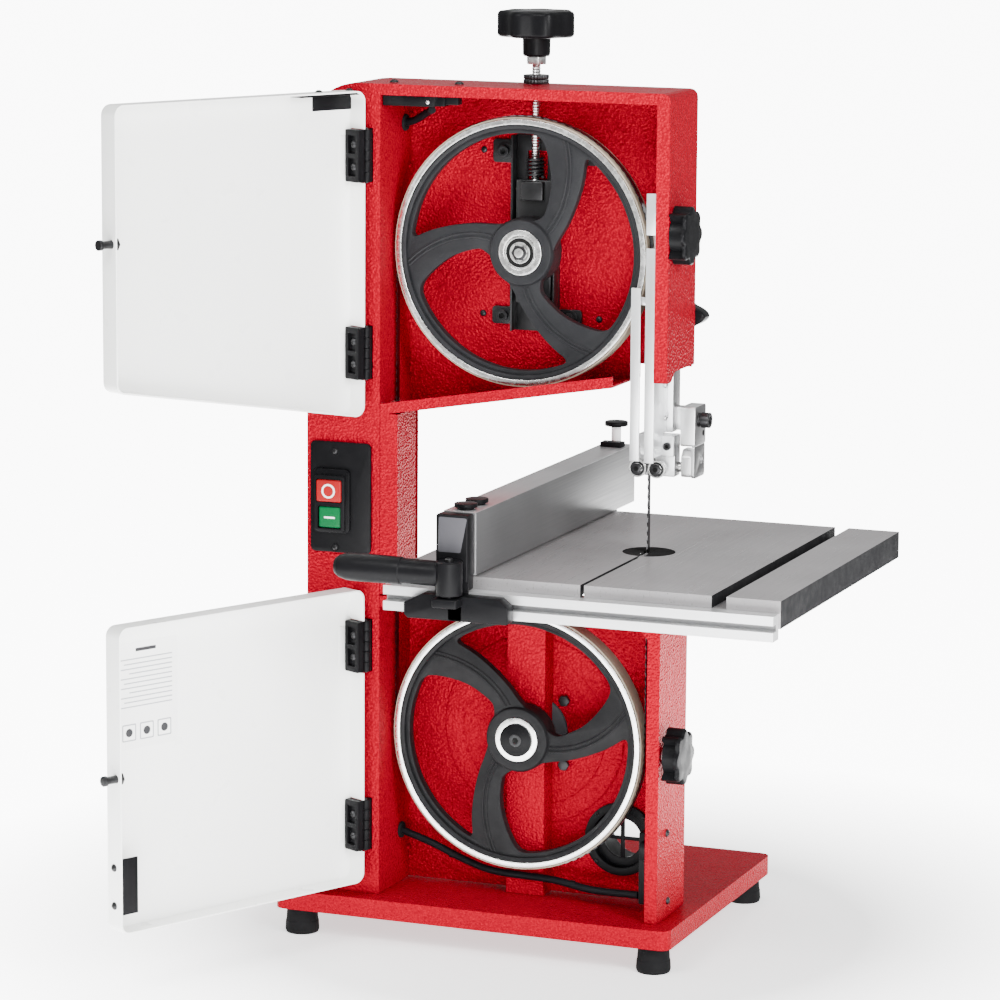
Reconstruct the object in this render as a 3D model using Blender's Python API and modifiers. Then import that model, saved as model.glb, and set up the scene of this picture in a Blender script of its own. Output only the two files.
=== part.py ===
"""Bench band saw: sheet-steel frame, two wheels and blade, tilting table, rip fence, hinged doors."""
import math

import bmesh
import bpy
from mathutils import Matrix, Vector

for old in list(bpy.data.objects):
    bpy.data.objects.remove(old, do_unlink=True)

# Driving dimensions in millimetres. X = 0 is the wheel axis line, Y = 0 the front face of the
# frame, Z = 0 the floor. MM turns them into metres.
MM = 0.001
GAP = 0.3
SHEET = 1.5
WHEEL_Z = {"upper": 541.7, "lower": 164.3}
WHEEL_R = 101.0
BLADE_R = 102.7
BLADE_X = 103.0
COLUMN_LEFT = -165.9
COLUMN_RIGHT = -105.3
FRAME_RIGHT = 126.4
FRAME_TOP = 667.2
FRAME_BACK = 63.2
BOX_FLOOR = 36.5
THROAT_LEFT = 416.3
THROAT_RIGHT = 447.9
HINGE_X = -114.7
HINGE_Y = -4.0
HINGE_LENGTH = 40.0
HINGE_Z = {"upper": (612.9, 462.3), "lower": (234.1, 92.4)}
DOOR_OPEN = math.radians(-116.2)
DOOR_LEFT = -110.2
DOOR_RIGHT = 126.2
DOOR_SHEET = 1.2
CATCH_Y = 13.0
CATCH_Z = {"upper": 562.0, "lower": 166.0}
TABLE_TOP = 318.4
TABLE = (-47.8, -115.4, 254.6, 188.2)
TILT_X = 103.0
FENCE_PIVOT = (10.0, -142.0)
CENTRE_X = 10.49
CENTRE_Y = 2.994

parts = bpy.data.collections.new("band_saw")
cutters = bpy.data.collections.new("cutters")
bpy.context.scene.collection.children.link(parts)
bpy.context.scene.collection.children.link(cutters)
carrier = {"pivot": None}


def material(name, colour, roughness, metallic=0.0):
    mat = bpy.data.materials.new(name)
    mat.use_nodes = True
    shader = mat.node_tree.nodes["Principled BSDF"]
    shader.inputs["Base Color"].default_value = (*colour, 1.0)
    shader.inputs["Roughness"].default_value = roughness
    shader.inputs["Metallic"].default_value = metallic
    return mat


RED = material("red_paint", (0.55, 0.012, 0.012), 0.35)
WHITE = material("white_paint", (0.84, 0.85, 0.82), 0.32)
IRON = material("cast_wheel", (0.08, 0.082, 0.085), 0.45, 0.6)
TYRE = material("wheel_tyre", (0.16, 0.12, 0.09), 0.8)
STEEL = material("steel", (0.56, 0.56, 0.57), 0.3, 1.0)
GROUND = material("ground_iron", (0.36, 0.345, 0.33), 0.35, 0.9)
ALLOY = material("alloy", (0.78, 0.79, 0.8), 0.35, 0.9)
BLACK = material("black_plastic", (0.02, 0.02, 0.022), 0.45)
RUBBER = material("black_rubber", (0.018, 0.018, 0.018), 0.8)
STOP = material("red_button", (0.75, 0.02, 0.02), 0.3)
START = material("green_button", (0.02, 0.42, 0.1), 0.3)
GREY = material("grey_motor", (0.06, 0.06, 0.065), 0.5, 0.3)
BLACKENED = material("black_steel", (0.025, 0.025, 0.027), 0.4, 0.5)


def ride(obj):
    """Hang an object on the current pivot while its own numbers stay in machine axes."""
    pivot = carrier["pivot"]
    obj.parent = pivot
    obj.matrix_parent_inverse = Matrix.Translation(-Vector(pivot["axis_point"]))
    return obj


def make_pivot(name, x, y, z, under=None, turn=0.0):
    pivot = bpy.data.objects.new(name, None)
    pivot.empty_display_size = 0.03
    pivot["axis_point"] = (x * MM, y * MM, z * MM)
    pivot.location = (x * MM, y * MM, z * MM)
    pivot.rotation_euler = (0.0, 0.0, turn)
    parts.objects.link(pivot)
    if under is not None:
        pivot.parent = under
        pivot.matrix_parent_inverse = Matrix.Translation(-Vector(under["axis_point"]))
    carrier["pivot"] = pivot
    return pivot


def finish(name, mesh, mat):
    mesh.shade_smooth()
    mesh.set_sharp_from_angle(angle=math.radians(32))
    obj = bpy.data.objects.new(name, mesh)
    parts.objects.link(obj)
    if mat is not None:
        mesh.materials.append(mat)
    return ride(obj)


AXES = {
    "X": Matrix(((0, 0, 1), (1, 0, 0), (0, 1, 0))),
    "Y": Matrix(((1, 0, 0), (0, 0, 1), (0, 1, 0))),
    "Z": Matrix(((1, 0, 0), (0, 1, 0), (0, 0, 1))),
}


def face_outwards(bm):
    bmesh.ops.recalc_face_normals(bm, faces=bm.faces)
    if bm.calc_volume(signed=True) < 0:
        bmesh.ops.reverse_faces(bm, faces=bm.faces)


def plate(name, loops, lo, hi, across, mat=None):
    """Flat outline with holes, lying square to one axis between two levels."""
    curve = bpy.data.curves.new(name, "CURVE")
    curve.dimensions = "2D"
    curve.fill_mode = "BOTH"
    curve.extrude = (hi - lo) / 2
    for loop in loops:
        spline = curve.splines.new("POLY")
        spline.points.add(len(loop) - 1)
        for point, (u, v) in zip(spline.points, loop):
            point.co = (u, v, 0.0, 1.0)
        spline.use_cyclic_u = True
    outline = bpy.data.objects.new(name + "_outline", curve)
    mesh = bpy.data.meshes.new_from_object(outline)
    bpy.data.objects.remove(outline, do_unlink=True)
    bpy.data.curves.remove(curve)
    mesh.name = name
    bm = bmesh.new()
    bm.from_mesh(mesh)
    bmesh.ops.remove_doubles(bm, verts=bm.verts, dist=0.0005)
    for vert in bm.verts:
        point = vert.co + Vector((0.0, 0.0, (hi + lo) / 2))
        vert.co = AXES[across] @ point * MM
    face_outwards(bm)
    bm.to_mesh(mesh)
    bm.free()
    return finish(name, mesh, mat)


def box(name, x, y, z, mat=None, bevel=0.0):
    bm = bmesh.new()
    bmesh.ops.create_cube(bm, size=1.0)
    size = Vector((x[1] - x[0], y[1] - y[0], z[1] - z[0])) * MM
    middle = Vector((x[1] + x[0], y[1] + y[0], z[1] + z[0])) * MM / 2
    bmesh.ops.scale(bm, vec=size, verts=bm.verts)
    bmesh.ops.translate(bm, vec=middle, verts=bm.verts)
    mesh = bpy.data.meshes.new(name)
    bm.to_mesh(mesh)
    bm.free()
    obj = finish(name, mesh, mat)
    if bevel:
        edge = obj.modifiers.new("edges", "BEVEL")
        edge.width = bevel * MM
        edge.segments = 2
        edge.limit_method = "ANGLE"
    return obj


def rod(name, centre, lo, hi, radius, axis, mat=None, sides=16):
    """Cylinder along one axis, centre given as the two other coordinates."""
    bm = bmesh.new()
    bmesh.ops.create_cone(bm, cap_ends=True, segments=sides, radius1=radius, radius2=radius,
                          depth=hi - lo)
    middle = (hi + lo) / 2
    for vert in bm.verts:
        u, v, w = vert.co
        if axis == "X":
            vert.co = Vector((w + middle, centre[0] + u, centre[1] + v)) * MM
        elif axis == "Y":
            vert.co = Vector((centre[0] + u, w + middle, centre[1] - v)) * MM
        else:
            vert.co = Vector((centre[0] + u, centre[1] + v, w + middle)) * MM
    face_outwards(bm)
    mesh = bpy.data.meshes.new(name)
    bm.to_mesh(mesh)
    bm.free()
    return finish(name, mesh, mat)


def turned(name, profile, centre, axis, mat=None, steps=24):
    """Turned piece: (radius, height) points along the axis, spun by a Screw modifier."""
    area = 0.0
    for (r0, h0), (r1, h1) in zip(profile, profile[1:] + profile[:1]):
        area += r0 * h1 - r1 * h0
    if area > 0:
        profile = profile[::-1]
    bm = bmesh.new()
    verts = [bm.verts.new((r * MM, 0.0, h * MM)) for r, h in profile]
    for first, second in zip(verts, verts[1:]):
        bm.edges.new((first, second))
    if min(r for r, h in profile) > 0:
        bm.edges.new((verts[-1], verts[0]))
    mesh = bpy.data.meshes.new(name)
    bm.to_mesh(mesh)
    bm.free()
    if mat is not None:
        mesh.materials.append(mat)
    obj = bpy.data.objects.new(name, mesh)
    parts.objects.link(obj)
    if axis == "Y":
        obj.location = (centre[0] * MM, 0.0, centre[1] * MM)
        obj.rotation_euler = (math.radians(-90), 0.0, 0.0)
    elif axis == "X":
        obj.location = (0.0, centre[0] * MM, centre[1] * MM)
        obj.rotation_euler = (0.0, math.radians(90), 0.0)
    else:
        obj.location = (centre[0] * MM, centre[1] * MM, 0.0)
    spin = obj.modifiers.new("spin", "SCREW")
    spin.axis = "Z"
    spin.angle = math.tau
    spin.steps = steps
    spin.render_steps = steps
    spin.use_merge_vertices = True
    spin.merge_threshold = 0.00002
    spin.use_smooth_shade = True
    return ride(obj)


def cable(name, points, radius, mat):
    curve = bpy.data.curves.new(name, "CURVE")
    curve.dimensions = "3D"
    curve.bevel_depth = radius * MM
    curve.bevel_resolution = 2
    curve.use_fill_caps = True
    curve.resolution_u = 1
    spline = curve.splines.new("POLY")
    route = smooth_route(points)
    spline.points.add(len(route) - 1)
    for point, co in zip(spline.points, route):
        point.co = (co[0] * MM, co[1] * MM, co[2] * MM, 1.0)
    curve.materials.append(mat)
    obj = bpy.data.objects.new(name, curve)
    parts.objects.link(obj)
    return ride(obj)


def smooth_route(points, steps=4):
    """Catmull-Rom curve through the route's own points."""
    knots = [Vector(p) for p in points]
    knots = [knots[0] * 2 - knots[1]] + knots + [knots[-1] * 2 - knots[-2]]
    route = []
    for a, b, c, d in zip(knots, knots[1:], knots[2:], knots[3:]):
        for step in range(steps):
            t = step / steps
            bend = (2 * a - 5 * b + 4 * c - d) * t * t + (3 * b - a - 3 * c + d) * t ** 3
            route.append(((2 * b) + (c - a) * t + bend) / 2)
    route.append(knots[-2])
    return route


def combine(obj, tool, operation):
    for item in list(tool.users_collection):
        item.objects.unlink(tool)
    cutters.objects.link(tool)
    tool.hide_render = True
    tool.display_type = "WIRE"
    modifier = obj.modifiers.new(operation.lower(), "BOOLEAN")
    modifier.operation = operation
    modifier.solver = "EXACT"
    modifier.object = tool


def cut(obj, *tools):
    for tool in tools:
        combine(obj, tool, "DIFFERENCE")


def join(obj, *tools):
    for tool in tools:
        combine(obj, tool, "UNION")


def rect(x0, y0, x1, y1):
    return [(x0, y0), (x1, y0), (x1, y1), (x0, y1)]


def circle(cx, cy, radius, sides=16):
    return arc(cx, cy, radius, 0.0, 360.0 - 360.0 / sides, sides - 1)


def arc(cx, cy, radius, start, end, steps=8):
    points = []
    for step in range(steps + 1):
        angle = math.radians(start + (end - start) * step / steps)
        points.append((cx + radius * math.cos(angle), cy + radius * math.sin(angle)))
    return points


def rounded(points, radius, steps=3):
    """Round every corner of a polygon with an arc of the given radius (one value or a list)."""
    out = []
    count = len(points)
    for index in range(count):
        r = radius[index] if isinstance(radius, (list, tuple)) else radius
        corner = Vector(points[index])
        if r <= 0:
            out.append(tuple(corner))
            continue
        before = (Vector(points[index - 1]) - corner).normalized()
        after = (Vector(points[(index + 1) % count]) - corner).normalized()
        half = before.angle(after) / 2
        middle = corner + (before + after).normalized() * (r / math.sin(half))
        first = corner + before * (r / math.tan(half)) - middle
        last = corner + after * (r / math.tan(half)) - middle
        turn = first.angle_signed(last)
        for step in range(steps + 1):
            angle = -turn * step / steps
            c, s = math.cos(angle), math.sin(angle)
            out.append((middle.x + first.x * c - first.y * s, middle.y + first.x * s + first.y * c))
    return out


def inset(points, distance):
    """Move every edge of a counter-clockwise polygon inwards."""
    out = []
    count = len(points)
    for index in range(count):
        corner = Vector(points[index])
        a = (corner - Vector(points[index - 1])).normalized()
        b = (Vector(points[(index + 1) % count]) - corner).normalized()
        na = Vector((-a.y, a.x))
        nb = Vector((-b.y, b.x))
        shift = (na + nb) * (distance / (1 + na.dot(nb)))
        out.append(tuple(corner + shift))
    return out


def lobed(cx, cy, outer, depth, lobes, per_lobe=8):
    points = []
    total = lobes * per_lobe
    for step in range(total):
        angle = math.tau * step / total
        radius = outer - depth * (0.5 - 0.5 * math.cos(angle * lobes))
        points.append((cx + radius * math.cos(angle), cy + radius * math.sin(angle)))
    return points


# ---------------------------------------------------------------- base and feet
origin = make_pivot("machine_origin", 0.0, 0.0, 0.0)

tray_outline = rect(-187.3, -17.4, 139.3, 237.7)
base_tray = plate("base_tray", [rounded(tray_outline, 8)], 21.1, 36.2, "Z", RED)
cut(base_tray, plate("tray_hollow", [rounded(inset(tray_outline, SHEET), 6.5)], 18, 34.7, "Z"))

FEET = {"front_left": (-170.3, -0.4), "front_right": (122.3, -0.4),
        "rear_left": (-170.3, 220.7), "rear_right": (122.3, 220.7)}
for corner, spot in FEET.items():
    foot = [(0, 34.4), (6, 34.4), (6, 20.5), (12, 20.5), (12, 17), (13.5, 2), (12.8, 0), (0, 0)]
    turned("foot_" + corner, foot, spot, "Z", RUBBER, 16)

# ---------------------------------------------------------------- bent sheet frame
shell_outline = [(COLUMN_LEFT, BOX_FLOOR)] + arc(-123.9, 625.2, 42, 180, 90, 10)
shell_outline += arc(FRAME_RIGHT - 6, FRAME_TOP - 6, 6, 90, 0, 3)
shell_outline += [(FRAME_RIGHT, 452.0), (-100.0, 452.0), (-100.0, BOX_FLOOR)]
frame_shell = plate("frame_shell", [shell_outline], 0, FRAME_BACK, "Y", RED)
hollow = [(COLUMN_LEFT + SHEET, 20.0)] + arc(-123.9, 625.2, 40.5, 180, 90, 10)
hollow += arc(FRAME_RIGHT - 6, FRAME_TOP - 6, 4.5, 90, 0, 3)
hollow += [(FRAME_RIGHT - SHEET, 430.0), (-80.0, 430.0), (-80.0, 20.0)]
opening = [(COLUMN_RIGHT, 20), (-60, 20), (-60, 440), (116, 440), (116, 658.8),
           (COLUMN_RIGHT, 658.8)]
cut(frame_shell, plate("shell_front_opening", [opening], -2, 3, "Y"))
cut(frame_shell, plate("shell_hollow", [hollow], SHEET, 70, "Y"))
curl = [(70, 440), (70, 459)]
for step in range(9):
    share = step / 8
    curl.append((20 - 12 * share, 455.5 + 3.5 * math.cos(math.pi * share)))
curl += [(5, 452), (5, 440)]
cut(frame_shell, plate("shell_side_curl", [curl], 120, 130, "X"))
for index, centre_z in enumerate(HINGE_Z["upper"] + HINGE_Z["lower"]):
    slot = (centre_z - 20.6, centre_z + 20.6)
    cut(frame_shell, box("hinge_slot_%d" % index, (-118.2, -111.2), (-2, 4), slot))
cut(frame_shell, rod("tension_hole", (0, 54), 660, 672, 4.5, "Z"))
cut(frame_shell, rod("catch_hole_upper", (CATCH_Y, CATCH_Z["upper"]), 122, 130, 6.3, "X"))
cut(frame_shell, box("switch_window", (-157.8, -131.7), (-2, 4), (321.7, 365.3)))

column_outline = rect(1.8, BOX_FLOOR, 61.4, 665.4)
plate("frame_column_wall", [column_outline, circle(48, 634.5, 5, 16), circle(44, 78, 5, 16)],
      COLUMN_RIGHT - SHEET, COLUMN_RIGHT, "X", RED)


def floor_z(x):
    return THROAT_LEFT + (x + 103.2) * (THROAT_RIGHT - THROAT_LEFT) / 186.6


back_outline = [(-164.1, BOX_FLOOR)] + arc(-123.9, 625.2, 40.2, 180, 90, 10)
back_outline += arc(120.4, 661.2, 4.2, 90, 0, 3)
back_outline += [(124.6, 457.0), (83.4, 457.0), (83.4, floor_z(83.4) - 1.4)]
back_outline += [(-99.4, floor_z(-99.4) - 1.4), (-99.4, 271.7), (113.0, 271.7), (122.2, 262.5)]
back_outline += [(122.2, BOX_FLOOR)]
frame_back_plate = plate("frame_back_plate", [back_outline], 61.7, FRAME_BACK, "Y", RED)
hat = plate("axle_hat", [[(-15.5, 62.3), (-15.5, 43), (15.5, 43), (15.5, 62.3), (14, 62.3),
                          (14, 44.5), (-14, 44.5), (-14, 62.3)]], 36.8, 271.4, "Z")
join(frame_back_plate, hat)
clamp = plate("post_clamp", [rect(92, 39.6, 122, 62.4), rect(96.7, 42.7, 117.3, 60.3)],
              470, 520, "Z")
join(frame_back_plate, clamp)
cut(frame_back_plate, rod("motor_boss_hole", (0, 164.3), 59.5, 66, 28, "Y", sides=28))
cut(frame_back_plate, rod("shaft_hole", (0, 164.3), 41, 50, 9, "Y", sides=20))
cut(frame_back_plate, rod("dust_hole", (73, 84), 59, 66, 25.4, "Y", sides=24))
cut(frame_back_plate, rod("guide_lock_hole", (107, 494), 59, 66, 4, "Y"))
cut(frame_back_plate, rod("tracking_hole", (0, WHEEL_Z["upper"]), 59, 66, 4, "Y"))

floor_outline = [(-99.5, floor_z(-99.5)), (-99.5, floor_z(-99.5) - SHEET),
                 (83.4, floor_z(83.4) - SHEET), (83.4, floor_z(83.4))]
frame_throat_panel = plate("frame_throat_panel", [floor_outline], 0, 61.4, "Y", RED)
lip_outline = [(-104.9, floor_z(-104.9) - SHEET), (83.4, floor_z(83.4) - SHEET),
               (83.4, floor_z(83.4) + 6.9), (-104.9, floor_z(-104.9) + 6.9)]
join(frame_throat_panel, plate("throat_lip", [lip_outline], 0, SHEET, "Y"))
channel = [(-104.9, 0), (-90.6, 0), (-90.6, 36.5), (-104.9, 36.5), (-104.9, 35), (-92.1, 35),
           (-92.1, SHEET), (-104.9, SHEET)]
join(frame_throat_panel, plate("throat_channel", [channel], 275, 415.4, "Z"))

lower_outline = [(-99, 272), (113.4, 272), (122.5, 262.9), (122.5, BOX_FLOOR),
                 (124, BOX_FLOOR), (124, 263.5), (114, 273.5), (-99, 273.5)]
frame_lower_wall = plate("frame_lower_wall", [lower_outline], 0, FRAME_BACK, "Y", RED)
lower_lip = [(-104.9, 265.1), (105.6, 265.1), (114, 256.7), (114, BOX_FLOOR), (124, BOX_FLOOR),
             (124, 263.5), (114, 273.5), (-104.9, 273.5)]
join(frame_lower_wall, plate("lower_lip", [lower_lip], 0, SHEET, "Y"))
cut(frame_lower_wall, box("lower_blade_slot", (99, 108), (15, 40), (265, 280)))
cut(frame_lower_wall, rod("catch_hole_lower", (CATCH_Y, CATCH_Z["lower"]), 120, 130, 6.3, "X"))

# ---------------------------------------------------------------- motor, dust port, switches
motor = [(0, 150), (7.4, 150), (7.4, 60), (27.5, 60), (27.5, 63.8), (50, 63.8), (58, 68),
         (60, 74), (60, 160), (57, 164), (57, 186), (54, 190), (0, 190)]
motor_housing = turned("motor_housing", motor, (0, WHEEL_Z["lower"]), "Y", GREY, 28)
join(motor_housing, box("capacitor_box", (-30, 30), (88, 150), (214, 243)))
join(motor_housing, rod("cable_gland", (45, 228), 112, 128, 6, "Y", sides=16))
join(motor_housing, box("gland_arm", (26, 46), (114, 126), (222, 234)))

port = [(22.5, 58), (29, 58), (29, 61.4), (25, 61.4), (25, 105), (22.5, 105)]
turned("dust_port", port, (73, 84), "Y", BLACK, 24)

upper_safety_switch = box("upper_safety_switch", (-104.9, -54), (2.5, 16), (650.6, 664.9),
                          BLACK, 0.8)
join(upper_safety_switch, box("upper_switch_head", (-58, -44), (5, 14), (652.5, 663)))
lower_safety_switch = box("lower_safety_switch", (104.5, 122.2), (12, 34), (47, 104), BLACK, 0.8)
join(lower_safety_switch, box("lower_switch_head", (108, 119), (4, 14), (84, 98)))
cable("upper_switch_cable", [(-105, 48, 634.5), (-95, 44, 637), (-80, 34, 644.5),
                             (-72, 22, 647)], 3, BLACK)
cable("lower_switch_cable", [(-105, 44, 78), (-78, 43, 70), (-50, 41, 60), (-22, 38, 54),
                             (25, 38, 52), (60, 32, 49), (101, 24, 51)], 3, BLACK)

switch_plate = plate("switch_plate", [rounded(rect(-162, 305.3, -111.7, 391.6), 3)],
                     -3, -0.3, "Y", BLACK)
join(switch_plate, plate("switch_frame", [rounded(rect(-158, 321, -128, 371), 3)], -6, -2, "Y"))
join(switch_plate, box("switch_body", (-157.4, -132.1), (-2, 22), (322.1, 364.9)))
cut(switch_plate, box("stop_pocket", (-155.6, -134), (-9, 14), (344.8, 362.7)))
cut(switch_plate, box("start_pocket", (-154, -134.9), (-9, 14), (324.4, 341.7)))

# ---------------------------------------------------------------- blade, cradle, frame hinges


def stadium(radius):
    loop = arc(0, WHEEL_Z["upper"], radius, 0, 180, 28)
    return loop + arc(0, WHEEL_Z["lower"], radius, 180, 360, 28)


plate("saw_blade", [stadium(BLADE_R + 0.6), stadium(BLADE_R)], 26.8, 33.2, "Y", STEEL)

cradle_outline = [(68, 273.8), (111, 273.8)]
cradle_outline += arc(TILT_X, TABLE_TOP, 40.3, -78.55, -150.3, 14)
trunnion_cradle = plate("trunnion_cradle", [cradle_outline], 2, 12.6, "Y", IRON)
join(trunnion_cradle, plate("cradle_rear", [cradle_outline], 47.4, 60, "Y"))
join(trunnion_cradle, box("cradle_base", (68.5, 98), (10, 50), (273.8, 277)))
cut(trunnion_cradle, rod("tilt_lock_hole", (77, 279.4), 52, 62, 3.6, "Y"))


def frame_hinge(name, centre_z):
    base = centre_z - HINGE_LENGTH / 2
    leaf = box(name, (-117.2, -112.2), (0.1, 14), (base, base + HINGE_LENGTH), BLACK)
    join(leaf, box(name + "_pad", (-112.8, -107.1), (2, 14), (base, base + HINGE_LENGTH)))
    join(leaf, rod(name + "_pin", (HINGE_X, HINGE_Y), base - 1, base + HINGE_LENGTH + 1, 1.5,
                   "Z", sides=8))
    for lo, hi in ((0, 7.7), (16.3, 23.7), (32.3, 40)):
        tag = "%s_%d" % (name, lo)
        join(leaf, rod(tag + "_knuckle", (HINGE_X, HINGE_Y), base + lo, base + hi, 3.6, "Z",
                       sides=12))
        join(leaf, box(tag + "_lug", (-117, -112.4), (-3.5, 1), (base + lo, base + hi)))


for level in ("upper", "lower"):
    for side, centre_z in zip(("top", "bottom"), HINGE_Z[level]):
        frame_hinge("frame_hinge_%s_%s" % (level, side), centre_z)

# ---------------------------------------------------------------- blade tension
bracket = [(-18, 61.4), (-18, 48), (-16.5, 48), (-16.5, 58.4), (16.5, 58.4), (16.5, 48),
           (18, 48), (18, 61.4)]
tension_bracket = plate("tension_bracket", [bracket], 478, 628, "Z", BLACKENED)
ears = ((-36.5, -17, 606, 624), (-36.5, -17, 482, 495.5), (17, 48, 606, 624),
        (17, 36.5, 482, 495.5))
for index, (x0, x1, z0, z1) in enumerate(ears):
    join(tension_bracket, box("bracket_ear_%d" % index, (x0, x1), (58.4, 61.4), (z0, z1)))
    middle = (x0 + x1) / 2 + (5 if x1 > 40 else 0)
    join(tension_bracket, rod("bracket_bolt_%d" % index, (middle, (z0 + z1) / 2), 54, 59, 5,
                              "Y", sides=6))
cut(tension_bracket, box("spring_window", (-8, 8), (50, 63), (585, 616)))
cut(tension_bracket, rod("bracket_tracking_hole", (0, WHEEL_Z["upper"]), 56, 64, 4, "Y"))

slide = make_pivot("wheel_slide_axis", 0, 54, WHEEL_Z["upper"], origin)
tension_slider = box("tension_slider", (-14.5, 14.5), (50, 58), (500, 594.5), BLACKENED,
                     0.8)
join(tension_slider, box("slider_nut", (-9, 9), (45.5, 57), (579, 593.5)))
join(tension_slider, turned("slider_axle", [(0, 18.9), (6.4, 18.9), (6.4, 21.2), (6.2, 21.2),
                                            (6.2, 52), (0, 52)], (0, WHEEL_Z["upper"]), "Y"))
cut(tension_slider, rod("rod_hole", (0, 54), 565, 600, 3.8, "Z", sides=16))
turned("tension_spring", [(4.5, 595), (7, 595), (7, 612), (4.5, 612)], (0, 54), "Z", STEEL, 20)

make_pivot("tension_knob_axis", 0, 54, 700, origin)
tension_knob = plate("tension_knob", [lobed(0, 54, 30, 3.5, 7, 6)], 702.5, 722.6, "Z", BLACK)
shank = [(0, 703.5), (10.5, 703.5), (10.5, 688), (7.5, 688), (7.5, 674.5), (10, 674.5),
         (10, 671.5), (8, 671.5), (8, 670.5), (10, 670.5), (10, 667.5), (3.4, 667.5),
         (3.4, 578), (0, 578)]
join(tension_knob, turned("tension_shank", shank, (0, 54), "Z", None, 16))

# ---------------------------------------------------------------- wheels


def rim_corner_round(points, passes=3):
    """Corner cutting: every pass replaces each corner by two points on its edges."""
    for _ in range(passes):
        smooth = []
        for (x0, y0), (x1, y1) in zip(points, points[1:] + points[:1]):
            smooth.append((x0 * 0.75 + x1 * 0.25, y0 * 0.75 + y1 * 0.25))
            smooth.append((x0 * 0.25 + x1 * 0.75, y0 * 0.25 + y1 * 0.75))
        points = smooth
    return points


def wheel_window(cz, base_angle):
    """Opening between two curved spokes, from the hub circle to the rim circle."""
    def ridge(radius):
        return base_angle + 0.458 * (radius - 21.4)

    def polar(radius, degrees):
        angle = math.radians(degrees)
        return radius * math.cos(angle), cz + radius * math.sin(angle)

    outline = []
    for radius in (29, 42, 58, 76, 90.5):
        lead = 17.5 if radius < 35 else 15.5 if radius < 50 else 13.6
        outline.append(polar(radius, ridge(radius) + lead))
    start = ridge(90.5) + 13.6
    end = ridge(90.5) + 120 - 8
    for step in range(1, 6):
        outline.append(polar(90.5, start + (end - start) * step / 6))
    for radius in (90.5, 76, 58, 42, 29):
        trail = 22 if radius < 35 else 14 if radius < 50 else 10.5
        outline.append(polar(radius, ridge(radius) + 120 - trail))
    return rim_corner_round(outline, 1)


def wheel(level, bore, hub_back, base_angle):
    cz = WHEEL_Z[level]
    profile = [(bore, 22), (26, 22), (26.8, 25), (94, 25), (95.5, 21.2), (WHEEL_R, 21.2),
               (WHEEL_R, 39), (95.5, 39), (94, 33), (26.8, 33), (26, hub_back), (bore, hub_back)]
    body = turned(level + "_wheel", profile, (0, cz), "Y", IRON, 40)
    for index in range(3):
        window = wheel_window(cz, base_angle + 120 * index)
        cut(body, plate("%s_window_%d" % (level, index), [window], 23, 35, "Y"))
    tyre = [(101.3, 22), (102.4, 22.6), (102.4, 38), (101.3, 38.6)]
    turned(level + "_tyre", tyre, (0, cz), "Y", TYRE, 40)


make_pivot("upper_wheel_axis", 0, 30, WHEEL_Z["upper"], slide)
wheel("upper", 13, 45, 155)
turned("upper_wheel_bearing", [(6.5, 21.5), (12.7, 21.5), (12.7, 31), (6.5, 31)],
       (0, WHEEL_Z["upper"]), "Y", STEEL, 32)

make_pivot("lower_wheel_axis", 0, 30, WHEEL_Z["lower"], origin)
wheel("lower", 7.3, 42.5, 105.4)
turned("motor_shaft", [(0, 19.7), (5, 19.7), (5, 20.1), (13, 20.1), (13, 21.7), (7, 21.7),
                       (7, 130), (0, 130)], (0, WHEEL_Z["lower"]), "Y", STEEL, 28)

# ---------------------------------------------------------------- blade guide
guide = make_pivot("guide_post_axis", 107, 51.5, 494, origin)
guide_post = box("guide_post", (97, 117), (43, 60), (408.5, 585), ALLOY, 1.0)
join(guide_post, box("guide_arm", (115, 126), (48, 58), (410, 428)))
join(guide_post, box("guide_bracket", (125, 137), (36, 62), (399.5, 430)))
join(guide_post, box("guide_side_plate", (134, 136.5), (36.5, 61.5), (375.2, 400.5)))
join(guide_post, box("guide_carrier", (125.5, 134.5), (37, 58), (375.8, 397)))
join(guide_post, rod("guide_clamp_screw", (45, 419.5), 136, 146, 6, "X"))

guard_right = box("blade_guard", (104.5, 112.3), (12, 16), (389, 592), ALLOY)
join(guard_right, box("guard_left", (93.2, 100.7), (12, 16), (390, 521)))
join(guard_right, box("guard_bridge_low", (93.7, 112), (15, 18), (395, 401)))
join(guard_right, box("guard_bridge_high", (93.7, 112), (15, 18), (508, 514)))
web = [(15, 393), (33.7, 393), (33.7, 409), (42.7, 409), (42.7, 455), (39.3, 455), (39.3, 592),
       (15, 592)]
join(guard_right, plate("guard_web", [web], 110.8, 112.3, "X"))
cut(guard_right, box("guard_notch", (104, 110), (11, 18), (551, 561)))

guide_block = box("guide_block", (92, 122), (34, 47), (376, 408), ALLOY, 1.2)
cut(guide_block, box("thrust_slot", (99.8, 106.2), (32, 48.5), (383, 401)))
join(guide_block, rod("thrust_pin", (40.5, 392), 96, 110, 2, "X", sides=16))
for side, x in (("left", 95.4), ("right", 110.6)):
    pin = [(0, 21.4), (4.5, 21.4), (4.5, 23.7), (2.5, 23.7), (2.5, 29.3), (4.2, 29.3), (4.2, 36),
           (0, 36)]
    join(guide_block, turned("bearing_pin_" + side, pin, (x, 382.9), "Y", None, 16))
for side, x in (("left", 95.4), ("right", 110.6)):
    make_pivot("guide_bearing_%s_axis" % side, x, 26.5, 382.9, guide)
    turned("guide_bearing_" + side, [(2.8, 24), (7, 24), (7, 29), (2.8, 29)], (x, 382.9), "Y",
           STEEL, 24)
make_pivot("thrust_bearing_axis", 103, 40.5, 392, guide)
turned("thrust_bearing", [(2.3, 100.5), (7, 100.5), (7, 105.5), (2.3, 105.5)], (40.5, 392), "X",
       STEEL, 24)

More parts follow.
